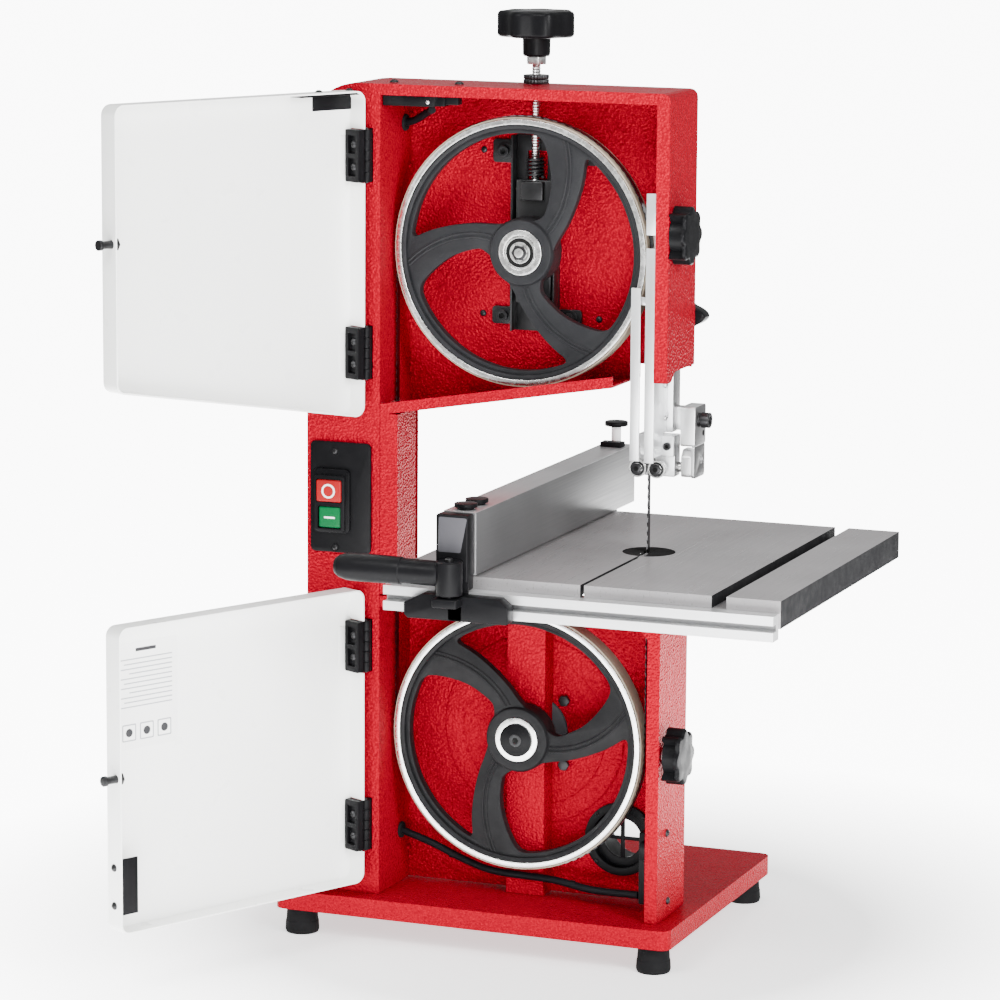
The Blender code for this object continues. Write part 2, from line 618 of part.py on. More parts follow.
make_pivot("guide_lock_axis", 107, 74, 494, origin)
guide_lock = plate("guide_lock_knob", [lobed(107, 494, 25, 9, 5, 6)], 68, 84, "Y", BLACK)
join(guide_lock, turned("guide_lock_shank", [(0, 60.4), (3.6, 60.4), (3.6, 64), (9, 64), (9, 69),
                                             (0, 69)], (107, 494), "Y", None, 16))
make_pivot("tracking_axis", 0, 74, WHEEL_Z["upper"], origin)
tracking = plate("tracking_knob", [lobed(0, WHEEL_Z["upper"], 18, 1.5, 8, 4)], 68, 82, "Y", BLACK)
join(tracking, turned("tracking_shank", [(0, 58.4), (3.6, 58.4), (3.6, 64), (8, 64), (8, 69),
                                         (0, 69)], (0, WHEEL_Z["upper"]), "Y", None, 16))

# ---------------------------------------------------------------- doors, latches, catches


def door(level, outline, corners):
    hinge = make_pivot(level + "_door_hinge_axis", HINGE_X, HINGE_Y, HINGE_Z[level][0], origin,
                       DOOR_OPEN)
    skin = plate(level + "_door", [rounded(outline, corners)], -18, -0.6, "Y", WHITE)
    inner = [max(r - DOOR_SHEET, 0.5) for r in corners]
    pan = rounded(inset(outline, DOOR_SHEET), inner)
    for index, centre_z in enumerate(HINGE_Z[level]):
        cut(skin, box("%s_door_notch_%d" % (level, index), (-111.5, -108), (-16.5, 3),
                      (centre_z - 20.5, centre_z + 20.5)))
    cut(skin, plate(level + "_door_pan", [pan], -16.8, 4, "Y"))
    latch_z = CATCH_Z[level]
    cut(skin, rod(level + "_stud_hole", (-6.1, latch_z), 122, 130, 3.3, "X", sides=16))
    for side, centre_z in zip(("top", "bottom"), HINGE_Z[level]):
        name = "door_hinge_%s_%s" % (level, side)
        base = centre_z - HINGE_LENGTH / 2
        leaf = box(name, (-109.9, -103.5), (-16.4, -0.8), (base, base + HINGE_LENGTH), BLACK)
        for lo in (8, 24):
            tag = "%s_%d" % (name, lo)
            span = (base + lo, base + lo + 8)
            join(leaf, box(tag + "_arm", (HINGE_X, -109), (-7.3, -1.2), span))
            join(leaf, rod(tag + "_knuckle", (HINGE_X, HINGE_Y), span[0], span[1], 3.6, "Z",
                           sides=12))
        cut(leaf, rod(name + "_bore", (HINGE_X, HINGE_Y), base - 2, base + 42, 1.8, "Z",
                      sides=12))
    stud = [(0, 138.2), (4, 138.2), (4, 135), (3, 135), (3, 124.7), (5, 124.7), (5, 121), (0, 121)]
    turned(level + "_latch_stud", stud, (-6.1, latch_z), "X", BLACKENED, 14)
    return hinge


door("upper", [(DOOR_LEFT, 412.9), (DOOR_RIGHT, 453.6), (DOOR_RIGHT, 662.3), (DOOR_LEFT, 662.3)],
     [8, 8, 8, 8])
door("lower", [(DOOR_LEFT, 47.6), (DOOR_RIGHT, 47.6), (DOOR_RIGHT, 279.6), (DOOR_LEFT, 279.6)],
     [8, 8, 8, 8])

for level in ("upper", "lower"):
    cz = CATCH_Z[level]
    make_pivot(level + "_catch_axis", 134, CATCH_Y, cz, origin)
    collar = 124.3 if level == "lower" else 126.8
    profile = [(0, 141.5), (20.8, 141.5), (21.8, 140.5), (21.8, 127), (9, 127), (9, collar),
               (6, collar), (6, 122), (9, 122), (9, 117.5), (0, 117.5)]
    catch = turned(level + "_door_catch", profile, (CATCH_Y, cz), "X", BLACK, 28)
    sector = arc(CATCH_Y, cz, 14.6, 180 + 46, 180 - 46, 8) + [(CATCH_Y - 24, cz + 24.85),
                                                              (CATCH_Y - 24, cz - 24.85)]
    cut(catch, plate(level + "_catch_notch", [sector], 126, 138.5, "X"))

# ---------------------------------------------------------------- tilting table
table = make_pivot("table_tilt_axis", TILT_X, 30, TABLE_TOP, origin)
x0, y0, x1, y1 = TABLE
table_top = box("table_top", (x0, x1), (y0, y1), (298.1, TABLE_TOP), GROUND)
cut(table_top, box("table_pocket", (x0 + 6, x1 - 6), (y0 + 6, y1 - 6), (290, 310.4)))
for index, y in enumerate((-58, 120)):
    join(table_top, box("table_rib_%d" % index, (x0 + 4, x1 - 4), (y, y + 5), (300, 311)))
join(table_top, box("mitre_boss", (197, 220), (y0 + 4, y1 - 4), (304, 311)))
segment = arc(TILT_X, TABLE_TOP, 40, -9.2, -170.8, 20)
join(table_top, plate("segment_front", [segment], 2, 12.6, "Y"))
join(table_top, plate("segment_rear", [segment], 47.4, 60, "Y"))
cut(table_top, box("mitre_slot", (202.6, 213.8), (-130, 200), (309.4, 325)))
cut(table_top, rod("insert_recess", (103.7, 30), 316, 325, 20.3, "Z", sides=28))
cut(table_top, rod("insert_opening", (103.7, 30), 305, 317, 17, "Z", sides=28))
cut(table_top, box("blade_slit", (102, 105), (-130, 15), (290, 325)))
table_insert = rod("table_insert", (103.7, 30), 316.3, TABLE_TOP, 20, "Z", ALLOY, 28)
cut(table_insert, box("insert_slot", (99.8, 106.2), (5, 36), (310, 325)))
table_rail = box("table_rail", (-47.8, 253.3), (-128.4, -115.7), (290.7, 309.3), ALLOY)
cut(table_rail, box("rail_groove", (-60, 260), (-135, -121), (297.5, 302.5)))

make_pivot("tilt_lock_axis", 77, 75, 279.4, origin)
tilt_lock = plate("tilt_lock_knob", [lobed(77, 279.4, 15, 4, 5, 5)], 66, 84, "Y", BLACK)
shank = [(0, 53), (3.3, 53), (3.3, 60.5), (5, 60.5), (5, 64), (7, 64), (7, 67), (0, 67)]
join(tilt_lock, turned("tilt_lock_shank", shank, (77, 279.4), "Y", None, 16))

# ---------------------------------------------------------------- rip fence
fence = make_pivot("fence_slide_axis", 8.5, -118, 309.3, table)
fence_beam = plate("fence_beam", [rect(-4.5, 319.5, 21.5, 366.5), rect(-2.2, 321.8, 19.2, 364.2)],
                   -118, 228, "Y", ALLOY)
join(fence_beam, box("fence_rear_hook", (0.5, 16.5), (190.5, 202), (302, 321)))
join(fence_beam, rod("fence_rear_stem", (8.5, 219), 365, 384, 4, "Z"))
join(fence_beam, rod("fence_rear_cap", (8.5, 219), 382, 386, 9.5, "Z", sides=20))
carriage = box("fence_carriage", (-26.6, 55.4), (-141, -128.7), (289, 308), BLACK, 1.0)
join(carriage, box("carriage_web", (-6, 20.5), (-130.7, -128.9), (300, 317)))
join(carriage, box("carriage_post", (-5.5, 20), (-130.6, -118.3), (309.6, 366)))
join(carriage, box("lever_platform", (0, 19.5), (-152, -138), (300, 307)))
join(carriage, rod("lever_pin", FENCE_PIVOT, 305, 336, 3, "Z", sides=16))
make_pivot("fence_lever_axis", FENCE_PIVOT[0], FENCE_PIVOT[1], 320, fence)
lever = turned("fence_lever", [(3.3, 334), (8.5, 334), (10, 332.5), (10, 308.6), (3.3, 308.6)],
               FENCE_PIVOT, "Z", BLACK, 20)
grip = [(0, -80), (6, -79), (9.2, -75), (9.6, -60), (9, -30), (9.4, -24), (11, -18), (11, -2),
        (9, 4), (0, 5)]
join(lever, turned("lever_grip", grip, (FENCE_PIVOT[1], 324), "X", None, 16))
cut(lever, rod("lever_bore", FENCE_PIVOT, 300, 350, 3.3, "Z", sides=20))

# ---------------------------------------------------------------- push buttons
make_pivot("stop_button_axis", -144.8, -8, 353.7, origin)
box("stop_button", (-155.3, -134.3), (-8.5, 9), (345.1, 362.4), STOP, 1.2)
make_pivot("start_button_axis", -144.4, -8, 333, origin)
box("start_button", (-153.7, -135.2), (-7, 9), (324.7, 341.4), START, 1.2)

# Move the whole machine so that its bounding box is centred on the origin.
origin.location = (-CENTRE_X * MM, -CENTRE_Y * MM, 0.0)
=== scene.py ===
import math

import bmesh
import bpy
from mathutils import Matrix, Vector


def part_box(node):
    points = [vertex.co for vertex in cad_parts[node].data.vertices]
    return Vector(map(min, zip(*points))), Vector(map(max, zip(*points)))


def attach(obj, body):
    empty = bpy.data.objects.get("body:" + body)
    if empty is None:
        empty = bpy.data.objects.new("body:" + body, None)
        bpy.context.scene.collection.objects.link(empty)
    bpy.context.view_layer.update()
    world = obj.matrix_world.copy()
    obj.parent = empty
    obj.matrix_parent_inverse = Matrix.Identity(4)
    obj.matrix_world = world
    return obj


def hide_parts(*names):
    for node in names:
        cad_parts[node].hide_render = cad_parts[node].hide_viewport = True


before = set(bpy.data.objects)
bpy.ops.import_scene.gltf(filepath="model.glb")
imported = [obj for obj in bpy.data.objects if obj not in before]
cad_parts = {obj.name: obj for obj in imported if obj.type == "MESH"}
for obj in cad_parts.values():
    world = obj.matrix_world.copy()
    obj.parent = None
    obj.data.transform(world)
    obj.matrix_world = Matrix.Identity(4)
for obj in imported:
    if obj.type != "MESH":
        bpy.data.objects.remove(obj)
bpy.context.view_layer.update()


# All numbers below are millimetres in machine axes: X = 0 at the wheel axes, Y = 0 at the front
# face of the frame, Z = 0 at the floor. SHIFT brings them to the row frame.
MM = 0.001
wheel_lo, wheel_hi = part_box("lower_wheel")
shell_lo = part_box("frame_shell")[0]
SHIFT = Vector(((wheel_lo.x + wheel_hi.x) / 2, shell_lo.y, 0.0))
HINGE = Vector((-114.7, -4.0, 0.0))
DOOR_OPEN = -116.2
DOOR_TURN = (Matrix.Translation(HINGE) @ Matrix.Rotation(math.radians(DOOR_OPEN), 4, "Z")
             @ Matrix.Translation(-HINGE))
TO_ROW = Matrix.Translation(SHIFT) @ Matrix.Scale(MM, 4)
# Heights of the wheel axes, of the hinges' middles and of the catches.
UPPER, LOWER = 541.7, 164.3
HINGE_Z = {"upper": (612.9, 462.3), "lower": (234.1, 92.4)}
CATCH_Z = {"upper": 562.0, "lower": 166.0}
# Edges and sheet of both doors when shut, and the X and Y of the fence lever's pin.
DOOR_LEFT, DOOR_RIGHT = -110.2, 126.2
DOOR_SHEET = 1.2
FENCE_PIVOT = (10, -142)


# ------------------------------------------------------------------ materials
class Nodes:
    """A Principled material with short calls for the nodes it needs."""

    def __init__(self, name, colour, rough, metal=0.0, spec=0.5):
        self.mat = bpy.data.materials.new(name)
        self.mat.use_nodes = True
        self.tree = self.mat.node_tree
        self.shader = self.tree.nodes["Principled BSDF"]
        for socket, value in (("Base Color", (*colour, 1.0)), ("Roughness", rough),
                              ("Metallic", metal), ("IOR", 1.5), ("Specular IOR Level", spec)):
            self.shader.inputs[socket].default_value = value
        self.coords = self.tree.nodes.new("ShaderNodeTexCoord").outputs["Object"]
        self.bump = None

    def link(self, a, b):
        self.tree.links.new(a, b)

    def node(self, kind, **inputs):
        """A new node; each input takes a value or another node's output."""
        node = self.tree.nodes.new("ShaderNode" + kind)
        for name, value in inputs.items():
            socket = node.inputs[name.replace("_", " ")]
            if isinstance(value, bpy.types.NodeSocket):
                self.link(value, socket)
            else:
                socket.default_value = value
        return node

    def mapped(self, scale=(1, 1, 1), offset=(0, 0, 0)):
        return self.node("Mapping", Scale=scale, Location=offset, Vector=self.coords).outputs[0]

    def noise(self, scale, detail=3.0, rough=0.5, stretch=(1, 1, 1)):
        return self.node("TexNoise", Scale=scale, Detail=detail, Roughness=rough,
                         Vector=self.mapped(stretch)).outputs["Fac"]

    def cells(self, scale):
        node = self.node("TexVoronoi", Scale=scale, Vector=self.mapped())
        node.feature = "SMOOTH_F1"
        node.inputs["Smoothness"].default_value = 0.6
        return node.outputs["Distance"]

    def rings(self, scale, centre):
        node = self.node("TexWave", Scale=scale, Distortion=0.4, Detail=2.0,
                         Vector=self.mapped((1, 1, 1), tuple(-c for c in centre)))
        node.wave_type = "RINGS"
        node.rings_direction = "Y"
        return node.outputs["Fac"]

    def remap(self, value, a, b, lo=0.3, hi=0.7):
        return self.node("MapRange", From_Min=lo, From_Max=hi, To_Min=a, To_Max=b,
                         Value=value).outputs["Result"]

    def vary(self, value, first, second, lo=0.3, hi=0.7):
        """Base colour that runs between two tones."""
        ramp = self.node("ValToRGB", Fac=value)
        for element, position, tone in zip(ramp.color_ramp.elements, (lo, hi), (first, second)):
            element.position = position
            element.color = (*tone, 1.0)
        self.link(ramp.outputs["Color"], self.shader.inputs["Base Color"])

    def rough(self, value, a, b):
        self.link(self.remap(value, a, b), self.shader.inputs["Roughness"])

    def relief(self, value, distance, strength=1.0):
        node = self.node("Bump", Distance=distance, Strength=strength, Height=value)
        if self.bump is not None:
            self.link(self.bump, node.inputs["Normal"])
        self.bump = node.outputs["Normal"]
        self.link(self.bump, self.shader.inputs["Normal"])


def red_paint():
    n = Nodes("red_hammered_paint", (0.31, 0.0005, 0.008), 0.24, metal=0.25, spec=0.02)
    n.shader.inputs["Specular Tint"].default_value = (1.0, 0.06, 0.08, 1.0)
    # The colour mottles with the hammer dimples: painted shading and glints on the relief.
    n.vary(n.cells(560), (0.315, 0.0007, 0.013), (0.23, 0.0004, 0.009), 0.1, 0.75)
    n.rough(n.noise(60, 2), 0.2, 0.25)
    n.relief(n.cells(560), 0.0012, 0.75)
    n.relief(n.noise(1100, 2), 0.0003, 0.3)
    return n.mat


def white_paint():
    n = Nodes("white_powder_coat", (0.88, 0.89, 0.87), 0.3, spec=0.4)
    n.vary(n.noise(9, 3), (0.87, 0.88, 0.86), (0.90, 0.905, 0.89))
    n.rough(n.noise(45, 3), 0.26, 0.4)
    n.relief(n.noise(650, 2), 0.00012, 0.3)
    return n.mat


def casting(name, first, second, spec=0.12):
    n = Nodes(name, first, 0.5, spec=spec)
    n.vary(n.noise(55, 4), first, second)
    n.rough(n.noise(120, 3), 0.4, 0.6)
    n.relief(n.noise(800, 3), 0.0004, 0.4)
    return n.mat


def machined(name, centre):
    colour = (0.93, 0.925, 0.91)
    n = Nodes(name, colour, 0.24, metal=1.0)
    dark = tuple(c * 0.86 for c in colour)
    n.vary(n.noise(40, 3), dark, colour)
    n.rough(n.noise(220, 3), 0.18, 0.34)
    n.relief(n.rings(900, centre), 0.000008, 0.4)
    return n.mat


def brushed(name, colour, stretch, rough=(0.26, 0.42), metal=1.0):
    n = Nodes(name, colour, 0.3, metal=metal)
    dark = tuple(c * 0.9 for c in colour)
    n.vary(n.noise(18, 4), dark, colour)
    lines = n.noise(1.0, 4, 0.7, stretch)
    n.rough(lines, *rough)
    n.relief(lines, 0.00004, 0.6)
    return n.mat


def plastic(name, colour, rough=(0.36, 0.52), grain=1500, relief=0.00008, tone=1.35):
    n = Nodes(name, colour, 0.45, spec=0.07)
    n.vary(n.noise(35, 3), colour, tuple(min(1.0, c * tone) for c in colour))
    n.rough(n.noise(90, 3), *rough)
    n.relief(n.noise(grain, 2), relief, 0.5)
    return n.mat


def zinc():
    n = Nodes("zinc_plate", (0.66, 0.66, 0.65), 0.28, metal=1.0)
    n.vary(n.noise(130, 4), (0.5, 0.5, 0.49), (0.72, 0.72, 0.71))
    n.rough(n.noise(240, 3), 0.2, 0.38)
    n.relief(n.noise(1300, 2), 0.00004, 0.4)
    return n.mat


def table_iron():
    n = Nodes("ground_cast_iron", (0.17, 0.162, 0.164), 0.3, metal=0.5, spec=0.1)
    n.vary(n.noise(11, 5, 0.6), (0.235, 0.226, 0.23), (0.30, 0.29, 0.294))
    lines = n.noise(1.0, 4, 0.75, (900, 7, 300))
    n.rough(lines, 0.24, 0.42)
    n.relief(lines, 0.00001, 0.6)
    n.relief(n.noise(500, 3), 0.00003, 0.2)
    return n.mat


RED = red_paint()
WHITE = white_paint()
# Both wheel castings are one dark grey paint; the lower copy is painted darker: painted shade.
CAST_UPPER = casting("casting_upper", (0.009, 0.0092, 0.0105), (0.013, 0.0133, 0.0145))
CAST_LOWER_SHADED = casting("casting_lower_painted_shade", (0.005, 0.005, 0.0057), (0.008, 0.008, 0.0087))
IRON = casting("cradle_iron", (0.012, 0.012, 0.0125), (0.022, 0.022, 0.023))
CAST_BLACK = casting("table_paint", (0.009, 0.009, 0.010), (0.016, 0.016, 0.017), 0.02)
INSERT = casting("insert_black", (0.012, 0.012, 0.012), (0.02, 0.02, 0.02), 0.0)
RIM = {}
for level, height in (("upper", UPPER), ("lower", LOWER)):
    spot = (SHIFT.x, 0.0, height * MM)
    RIM[level] = machined("turned_rim_" + level, spot)
TYRE = plastic("tyre_rubber", (0.26, 0.22, 0.17), (0.55, 0.8), 700, 0.0001, 1.25)
ZINC = zinc()
DARK_STEEL = brushed("blued_steel", (0.04, 0.04, 0.042), (300, 300, 300), (0.3, 0.45), 0.9)
BLADE = brushed("blade_steel", (0.05, 0.05, 0.052), (60, 900, 20), (0.2, 0.34))
TABLE = table_iron()
ALLOY_X = brushed("alloy_along_x", (0.86, 0.865, 0.87), (8, 900, 900), (0.26, 0.4), 0.85)
ALLOY_Y = brushed("alloy_along_y", (0.70, 0.705, 0.71), (900, 8, 900), (0.3, 0.44), 0.85)
ALLOY_Z = brushed("alloy_along_z", (0.80, 0.81, 0.82), (900, 900, 8), (0.28, 0.42), 0.7)
# A darker copy of the alloy: painted shade for the fence's sides, the guide castings' +X sides and
# the lines along the table rail.
SHADED_ALLOY = brushed("painted_shade_alloy", (0.21, 0.21, 0.213), (900, 8, 900), (0.3, 0.44), 0.85)
# A lighter copy of the alloy for the fence's top: painted light.
LIT_FENCE_TOP = brushed("fence_top_painted_light", (0.50, 0.50, 0.505), (900, 8, 900), (0.3, 0.44), 0.85)
BLACK = plastic("black_plastic", (0.0035, 0.0035, 0.004), (0.3, 0.45))
GLOSS_BLACK = plastic("smooth_black", (0.003, 0.003, 0.0035), (0.18, 0.3), 900, 0.00003)
BLACKENED = brushed("blackened_steel", (0.014, 0.014, 0.015), (300, 300, 300), (0.28, 0.42), 0.6)
CABLE = plastic("cable_sheath", (0.004, 0.004, 0.005), (0.4, 0.55), 1200, 0.00003)
RUBBER = plastic("foot_rubber", (0.006, 0.006, 0.0065), (0.65, 0.85), 900, 0.00012)
STOP = plastic("red_button", (0.24, 0.008, 0.010), (0.22, 0.34), 900, 0.00002, 1.1)
START = plastic("green_button", (0.002, 0.085, 0.026), (0.22, 0.34), 900, 0.00002, 1.1)
MARK = plastic("white_mark", (0.85, 0.85, 0.85), (0.3, 0.45), 900, 0.00002, 1.0)
BADGE_GREY = plastic("light_grey_plastic", (0.055, 0.054, 0.06), (0.35, 0.5), 1200, 0.00005, 1.08)
LABEL_WHITE = plastic("label_white", (0.86, 0.86, 0.85), (0.3, 0.4), 700, 0.00001, 1.0)
LABEL_INK = plastic("label_ink", (0.03, 0.03, 0.032), (0.3, 0.4), 700, 0.00001, 1.05)
LABEL_GREY = plastic("label_grey", (0.30, 0.31, 0.32), (0.3, 0.4), 700, 0.00001, 1.05)
MOTOR = casting("motor_paint", (0.035, 0.036, 0.04), (0.05, 0.051, 0.056))
# Dark sheets set into slots, sockets, vents and gaps: painted shade in recesses.
RECESS_SHADE = plastic("painted_recess_shade", (0.006, 0.006, 0.006), (0.6, 0.8), 500, 0.00001, 1.0)


# ------------------------------------------------------------------ outlines
def arc(cx, cy, radius, start, end, steps=16):
    out = []
    for k in range(steps + 1):
        a = math.radians(start + (end - start) * k / steps)
        out.append((cx + radius * math.cos(a), cy + radius * math.sin(a)))
    return out


def circle(cx, cy, radius, sides=48):
    return arc(cx, cy, radius, 0, 360 - 360 / sides, sides - 1)


def rect(x0, y0, x1, y1):
    return [(x0, y0), (x1, y0), (x1, y1), (x0, y1)]


def fillet(points, radius, steps=4, closed=True):
    """Round the corners of an outline, never by more than half of a neighbouring edge."""
    out = []
    count = len(points)
    for k in range(count):
        corner = Vector(points[k])
        if not closed and k in (0, count - 1):
            out.append(tuple(corner))
            continue
        before = Vector(points[k - 1]) - corner
        after = Vector(points[(k + 1) % count]) - corner
        half = before.angle(after, math.pi) / 2
        if half > math.radians(82):
            out.append(tuple(corner))
            continue
        reach = min(radius / math.tan(half), before.length * 0.48, after.length * 0.48)
        r = reach * math.tan(half)
        a = before.normalized()
        b = after.normalized()
        middle = corner + (a + b).normalized() * (r / math.sin(half))
        first = corner + a * reach - middle
        turn = -first.angle_signed(corner + b * reach - middle)
        for step in range(steps + 1):
            c, s = math.cos(turn * step / steps), math.sin(turn * step / steps)
            out.append((middle.x + first.x * c - first.y * s, middle.y + first.x * s + first.y * c))
    return out


def lobed(cx, cy, outer, depth, lobes, per_lobe=16, sharp=1.0):
    out = []
    total = lobes * per_lobe
    for k in range(total):
        a = math.tau * k / total
        dip = (0.5 - 0.5 * math.cos(a * lobes)) ** sharp
        r = outer - depth * dip
        out.append((cx + r * math.cos(a), cy + r * math.sin(a)))
    return out


AXES = {"X": Matrix(((0, 0, 1, 0), (1, 0, 0, 0), (0, 1, 0, 0), (0, 0, 0, 1))),
        "Y": Matrix(((1, 0, 0, 0), (0, 0, 1, 0), (0, 1, 0, 0), (0, 0, 0, 1))),
        "Z": Matrix.Identity(4)}
TURNED = {"X": Matrix.Rotation(math.radians(90), 4, "Y"),
          "Y": Matrix.Rotation(math.radians(-90), 4, "X"), "Z": Matrix.Identity(4)}


def outwards(bm):
    bmesh.ops.recalc_face_normals(bm, faces=bm.faces)
    if bm.calc_volume(signed=True) < 0:
        bmesh.ops.reverse_faces(bm, faces=bm.faces)


def soften(bm, width, steps=2):
    edges = [e for e in bm.edges if e.is_manifold and e.calc_face_angle(0) > math.radians(30)]
    bmesh.ops.bevel(bm, geom=edges, offset=width, segments=steps, profile=0.5, affect="EDGES",
                    clamp_overlap=True)


def round_over(bm, width, steps=4, where=None):
    """Round the sharp edges of a mesh, or only those whose ends all pass a test."""
    edges = [e for e in bm.edges if e.is_manifold and e.calc_face_angle(0) > math.radians(60)
             and (where is None or all(where(v.co) for v in e.verts))]
    bmesh.ops.bevel(bm, geom=edges, offset=width, segments=steps, profile=0.5, affect="EDGES")


def slab_mesh(loops, lo, hi, across, bevel=0.0):
    curve = bpy.data.curves.new("outline", "CURVE")
    curve.dimensions = "2D"
    curve.fill_mode = "BOTH"
    curve.extrude = (hi - lo) / 2
    for loop in loops:
        spline = curve.splines.new("POLY")
        spline.points.add(len(loop) - 1)
        for point, (u, v) in zip(spline.points, loop):
            point.co = (u, v, 0.0, 1.0)
        spline.use_cyclic_u = True
    obj = bpy.data.objects.new("outline", curve)
    mesh = bpy.data.meshes.new_from_object(obj)
    bpy.data.objects.remove(obj, do_unlink=True)
    bpy.data.curves.remove(curve)
    bm = bmesh.new()
    bm.from_mesh(mesh)
    bpy.data.meshes.remove(mesh)
    bmesh.ops.remove_doubles(bm, verts=bm.verts, dist=0.0005)
    bmesh.ops.transform(bm, matrix=AXES[across] @ Matrix.Translation((0, 0, (lo + hi) / 2)),
                        verts=bm.verts)
    outwards(bm)
    bmesh.ops.dissolve_limit(bm, angle_limit=math.radians(0.4), verts=bm.verts, edges=bm.edges)
    if bevel:
        soften(bm, bevel)
    return bm


def block_mesh(x, y, z, bevel=0.3, steps=2):
    bm = bmesh.new()
    bmesh.ops.create_cube(bm, size=1.0)
    bmesh.ops.scale(bm, vec=(x[1] - x[0], y[1] - y[0], z[1] - z[0]), verts=bm.verts)
    bmesh.ops.translate(bm, vec=((x[0] + x[1]) / 2, (y[0] + y[1]) / 2, (z[0] + z[1]) / 2),
                        verts=bm.verts)
    if bevel:
        soften(bm, bevel, steps)
    return bm


def lathe_mesh(profile, steps=64, round_=0.3):
    closed = min(r for r, h in profile) > 0
    if round_:
        profile = fillet(profile, round_, 3, closed)
    bm = bmesh.new()
    rings = []
    for r, h in profile:
        if r < 1e-6:
            rings.append([bm.verts.new((0, 0, h))] * steps)
            continue
        ring = []
        for k in range(steps):
            a = math.tau * k / steps
            ring.append(bm.verts.new((r * math.cos(a), r * math.sin(a), h)))
        rings.append(ring)
    pairs = list(zip(rings, rings[1:]))
    if closed:
        pairs.append((rings[-1], rings[0]))
    for low, high in pairs:
        for k in range(steps):
            n = (k + 1) % steps
            face = []
            for vert in (low[k], low[n], high[n], high[k]):
                if vert not in face:
                    face.append(vert)
            if len(face) > 2:
                bm.faces.new(face)
    outwards(bm)
    return bm


def tube_mesh(points, radius, sides=12, smooth=True):
    route = [Vector(p) for p in points]
    if smooth:
        knots = [route[0] * 2 - route[1]] + route + [route[-1] * 2 - route[-2]]
        dense = []
        for a, b, c, d in zip(knots, knots[1:], knots[2:], knots[3:]):
            for step in range(8):
                t = step / 8
                bend = (2 * a - 5 * b + 4 * c - d) * t * t + (3 * b - a - 3 * c + d) * t ** 3
                dense.append((2 * b + (c - a) * t + bend) / 2)
        route = dense + [knots[-2]]
    bm = bmesh.new()
    rings = []
    side = None
    for k, spot in enumerate(route):
        ahead = (route[min(k + 1, len(route) - 1)] - route[max(k - 1, 0)]).normalized()
        if side is None:
            side = ahead.orthogonal().normalized()
        side = (side - ahead * side.dot(ahead)).normalized()
        other = ahead.cross(side)
        ring = []
        for j in range(sides):
            a = math.tau * j / sides
            ring.append(bm.verts.new(spot + (side * math.cos(a) + other * math.sin(a)) * radius))
        rings.append(ring)
    for low, high in zip(rings, rings[1:]):
        for j in range(sides):
            n = (j + 1) % sides
            bm.faces.new((low[j], low[n], high[n], high[j]))
    bm.faces.new(rings[0][::-1])
    bm.faces.new(rings[-1])
    outwards(bm)
    return bm


def carved(bm, *cutters):
    """Cut closed meshes from a mesh and give back the result."""
    made = []
    for item in (bm, *cutters):
        mesh = bpy.data.meshes.new("work")
        item.to_mesh(mesh)
        item.free()
        obj = bpy.data.objects.new("work", mesh)
        bpy.context.scene.collection.objects.link(obj)
        made.append(obj)
    for tool in made[1:]:
        mod = made[0].modifiers.new("cut", "BOOLEAN")
        mod.operation = "DIFFERENCE"
        mod.solver = "EXACT"
        mod.object = tool
    graph = bpy.context.evaluated_depsgraph_get()
    result = bpy.data.meshes.new_from_object(made[0].evaluated_get(graph))
    out = bmesh.new()
    out.from_mesh(result)
    for obj in made:
        mesh = obj.data
        bpy.data.objects.remove(obj, do_unlink=True)
        bpy.data.meshes.remove(mesh)
    bpy.data.meshes.remove(result)
    return out


